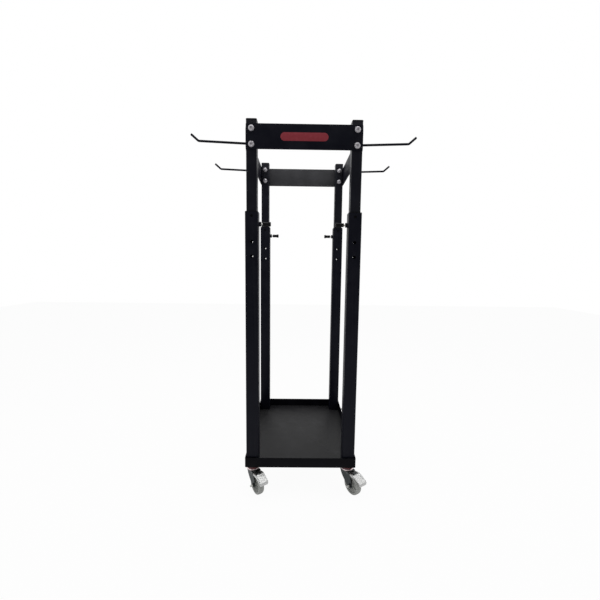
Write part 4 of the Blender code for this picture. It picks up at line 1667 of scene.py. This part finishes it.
    def pedal(self) -> Skin:
        """The whole pedal: pad, arms and the barrel on its trunnion.

        Returns:
            The skin, in the castor's frame.
        """
        barrel = lathe(((2.4, -17.4), (2.4, -14.6), (4.4, -14.6), (4.4, 14.6), (2.4, 14.6),
                        (2.4, 17.4)), 32)
        x, z = self.pivot_mm
        place = Matrix.Translation((x * MM, 0, z * MM)) @ Matrix.Rotation(math.pi / 2, 4, "X")
        return merged([self.pad(), self.arm(-1), self.arm(1), placed(barrel, place)])


# Studio


@dataclass(frozen=True)
class Lamp:
    """A soft square lamp.

    Attributes:
        name: Its name.
        place: Where it hangs.
        target: What it points at.
        size: Side of its square.
        power: Its power in watts.
    """

    name: str
    place: Point
    target: Point
    size: float
    power: float

    def hang(self) -> None:
        """Hang the lamp in the scene."""
        data = bpy.data.lights.new(self.name, "AREA")
        data.shape, data.size, data.energy = "SQUARE", self.size, self.power
        lamp = linked(self.name, data)
        lamp.location = self.place
        aim = Vector(self.target) - Vector(self.place)
        lamp.rotation_euler = aim.to_track_quat("-Z", "Y").to_euler()


@dataclass
class Studio:
    """Camera, lamps, floor and background.

    Attributes:
        eye: The camera's place, fitted to the photo.
        tilt: How far it looks down, in radians.
        pan: Its turn about Z, in radians.
        roll: Its roll, in radians.
        lens: Focal length in millimetres on a 36 mm sensor.
        ambient: Strength of the world on matt surfaces.
        room: Brightness that coats and metal reflect from the room behind the camera.
        floor_glow: Share of plain white in the floor as the camera sees it.
        floor_shine: The same share as coats and metal reflect it.
        lamps: The lamps.
    """

    eye: Point = (-0.0219, -1.5447, 0.9317)
    tilt: float = 0.1090
    pan: float = -0.0100
    roll: float = 0.012
    lens: float = 19.66
    ambient: float = 0.34
    room: float = 0.16
    floor_glow: float = 0.96
    floor_shine: float = 0.55
    lamps: tuple[Lamp, ...] = (Lamp("overhead", (0.0, 0.1, 2.7), (0.0, 0.1, 0.0), 1.8, 26.0),
                               Lamp("left_soft", (-2.4, -1.2, 1.9), (0.0, 0.0, 0.7), 1.6, 11.0),
                               Lamp("right_soft", (2.4, -0.8, 1.7), (0.0, 0.0, 0.7), 1.6, 9.0))

    def build(self) -> None:
        """Set up everything that isn't the cart."""
        self.camera()
        self.floor()
        self.world()
        for lamp in self.lamps:
            lamp.hang()
        bpy.context.scene.view_settings.view_transform = "Standard"

    def camera(self) -> None:
        """Set the camera where the photo was taken from."""
        data = bpy.data.cameras.new("photo_camera")
        data.lens, data.sensor_width = self.lens, 36.0
        data.clip_start, data.clip_end = 0.05, 50.0
        camera = linked("photo_camera", data)
        turn = Matrix.Rotation(self.pan, 4, "Z") @ Matrix.Rotation(math.pi / 2 - self.tilt, 4, "X")
        camera.matrix_world = Matrix.Translation(self.eye) @ turn @ Matrix.Rotation(self.roll, 4, "Z")
        bpy.context.scene.camera = camera

    def floor(self) -> None:
        """Lay a plain pale floor that keeps the cart's soft shadow."""
        skin = bmesh.new()
        bmesh.ops.create_grid(skin, x_segments=1, y_segments=1, size=6.0)
        floor = helper(skin)
        floor.name = "studio_floor"
        floor.location.z = -0.0002
        made = bpy.data.materials.new("pale_floor")
        made.use_nodes = True
        tree = made.node_tree
        tree.nodes.clear()
        matt = node(tree, "ShaderNodeBsdfDiffuse", {"Color": linear("#F4F4F4")})
        glow = node(tree, "ShaderNodeEmission", {"Color": linear("#FFFFFF"), "Strength": 1.0})
        path = node(tree, "ShaderNodeLightPath").outputs
        seen = node(tree, "ShaderNodeMath",
                    {"Value": path["Is Camera Ray"], "Value_001": self.floor_glow}, operation="MULTIPLY")
        shine = node(tree, "ShaderNodeMath",
                     {"Value": path["Is Glossy Ray"], "Value_001": self.floor_shine}, operation="MULTIPLY")
        share = node(tree, "ShaderNodeMath", {"Value": seen.outputs[0], "Value_001": shine.outputs[0]},
                     operation="MAXIMUM")
        mixed = node(tree, "ShaderNodeMixShader", {"Fac": share.outputs[0]})
        tree.links.new(matt.outputs[0], mixed.inputs[1])
        tree.links.new(glow.outputs[0], mixed.inputs[2])
        node(tree, "ShaderNodeOutputMaterial", {"Surface": mixed.outputs[0]})
        floor.data.materials.append(made)

    def world(self) -> None:
        """White background; the room behind the camera reflects darker in coats and metal."""
        world = bpy.data.worlds.new("studio_world")
        bpy.context.scene.world = world
        world.use_nodes = True
        tree = world.node_tree
        tree.nodes.clear()
        path = node(tree, "ShaderNodeLightPath").outputs
        place = node(tree, "ShaderNodeTexCoord").outputs["Generated"]
        away = node(tree, "ShaderNodeSeparateXYZ", {"Vector": place})
        room = node(tree, "ShaderNodeMapRange",
                    {"Value": away.outputs["Y"], "From Min": -0.75, "From Max": 0.35,
                     "To Min": self.room, "To Max": 1.0})
        seen = node(tree, "ShaderNodeMath",
                    {"Value": path["Is Camera Ray"], "Value_001": path["Is Transmission Ray"]},
                    operation="MAXIMUM")
        shine = node(tree, "ShaderNodeMath",
                     {"Value": path["Is Glossy Ray"], "Value_001": room.outputs["Result"]},
                     operation="MULTIPLY")
        strong = node(tree, "ShaderNodeMath", {"Value": seen.outputs[0], "Value_001": shine.outputs[0]},
                      operation="MAXIMUM")
        matt = node(tree, "ShaderNodeMath", {"Value": path["Is Diffuse Ray"], "Value_001": self.ambient},
                    operation="MULTIPLY")
        total = node(tree, "ShaderNodeMath", {"Value": strong.outputs[0], "Value_001": matt.outputs[0]},
                     operation="MAXIMUM")
        back = node(tree, "ShaderNodeBackground",
                    {"Color": linear("#FFFFFF"), "Strength": total.outputs[0]})
        node(tree, "ShaderNodeOutputWorld", {"Surface": back.outputs[0]})


def main() -> None:
    """Build the studio and the cart, sub-assembly by sub-assembly."""
    logging.basicConfig(level=logging.INFO, format="%(name)s: %(message)s")
    repeater, sweep = Repeater(), RodSweep()
    welder = Welder(repeater)
    Studio().build()
    Tray(welder).build()
    Uprights().build()
    TopFrame(repeater, welder).build()
    Hooks(sweep, welder).build()
    Locks().build()
    Castors(repeater).build()


if __name__ == "__main__":
    main()
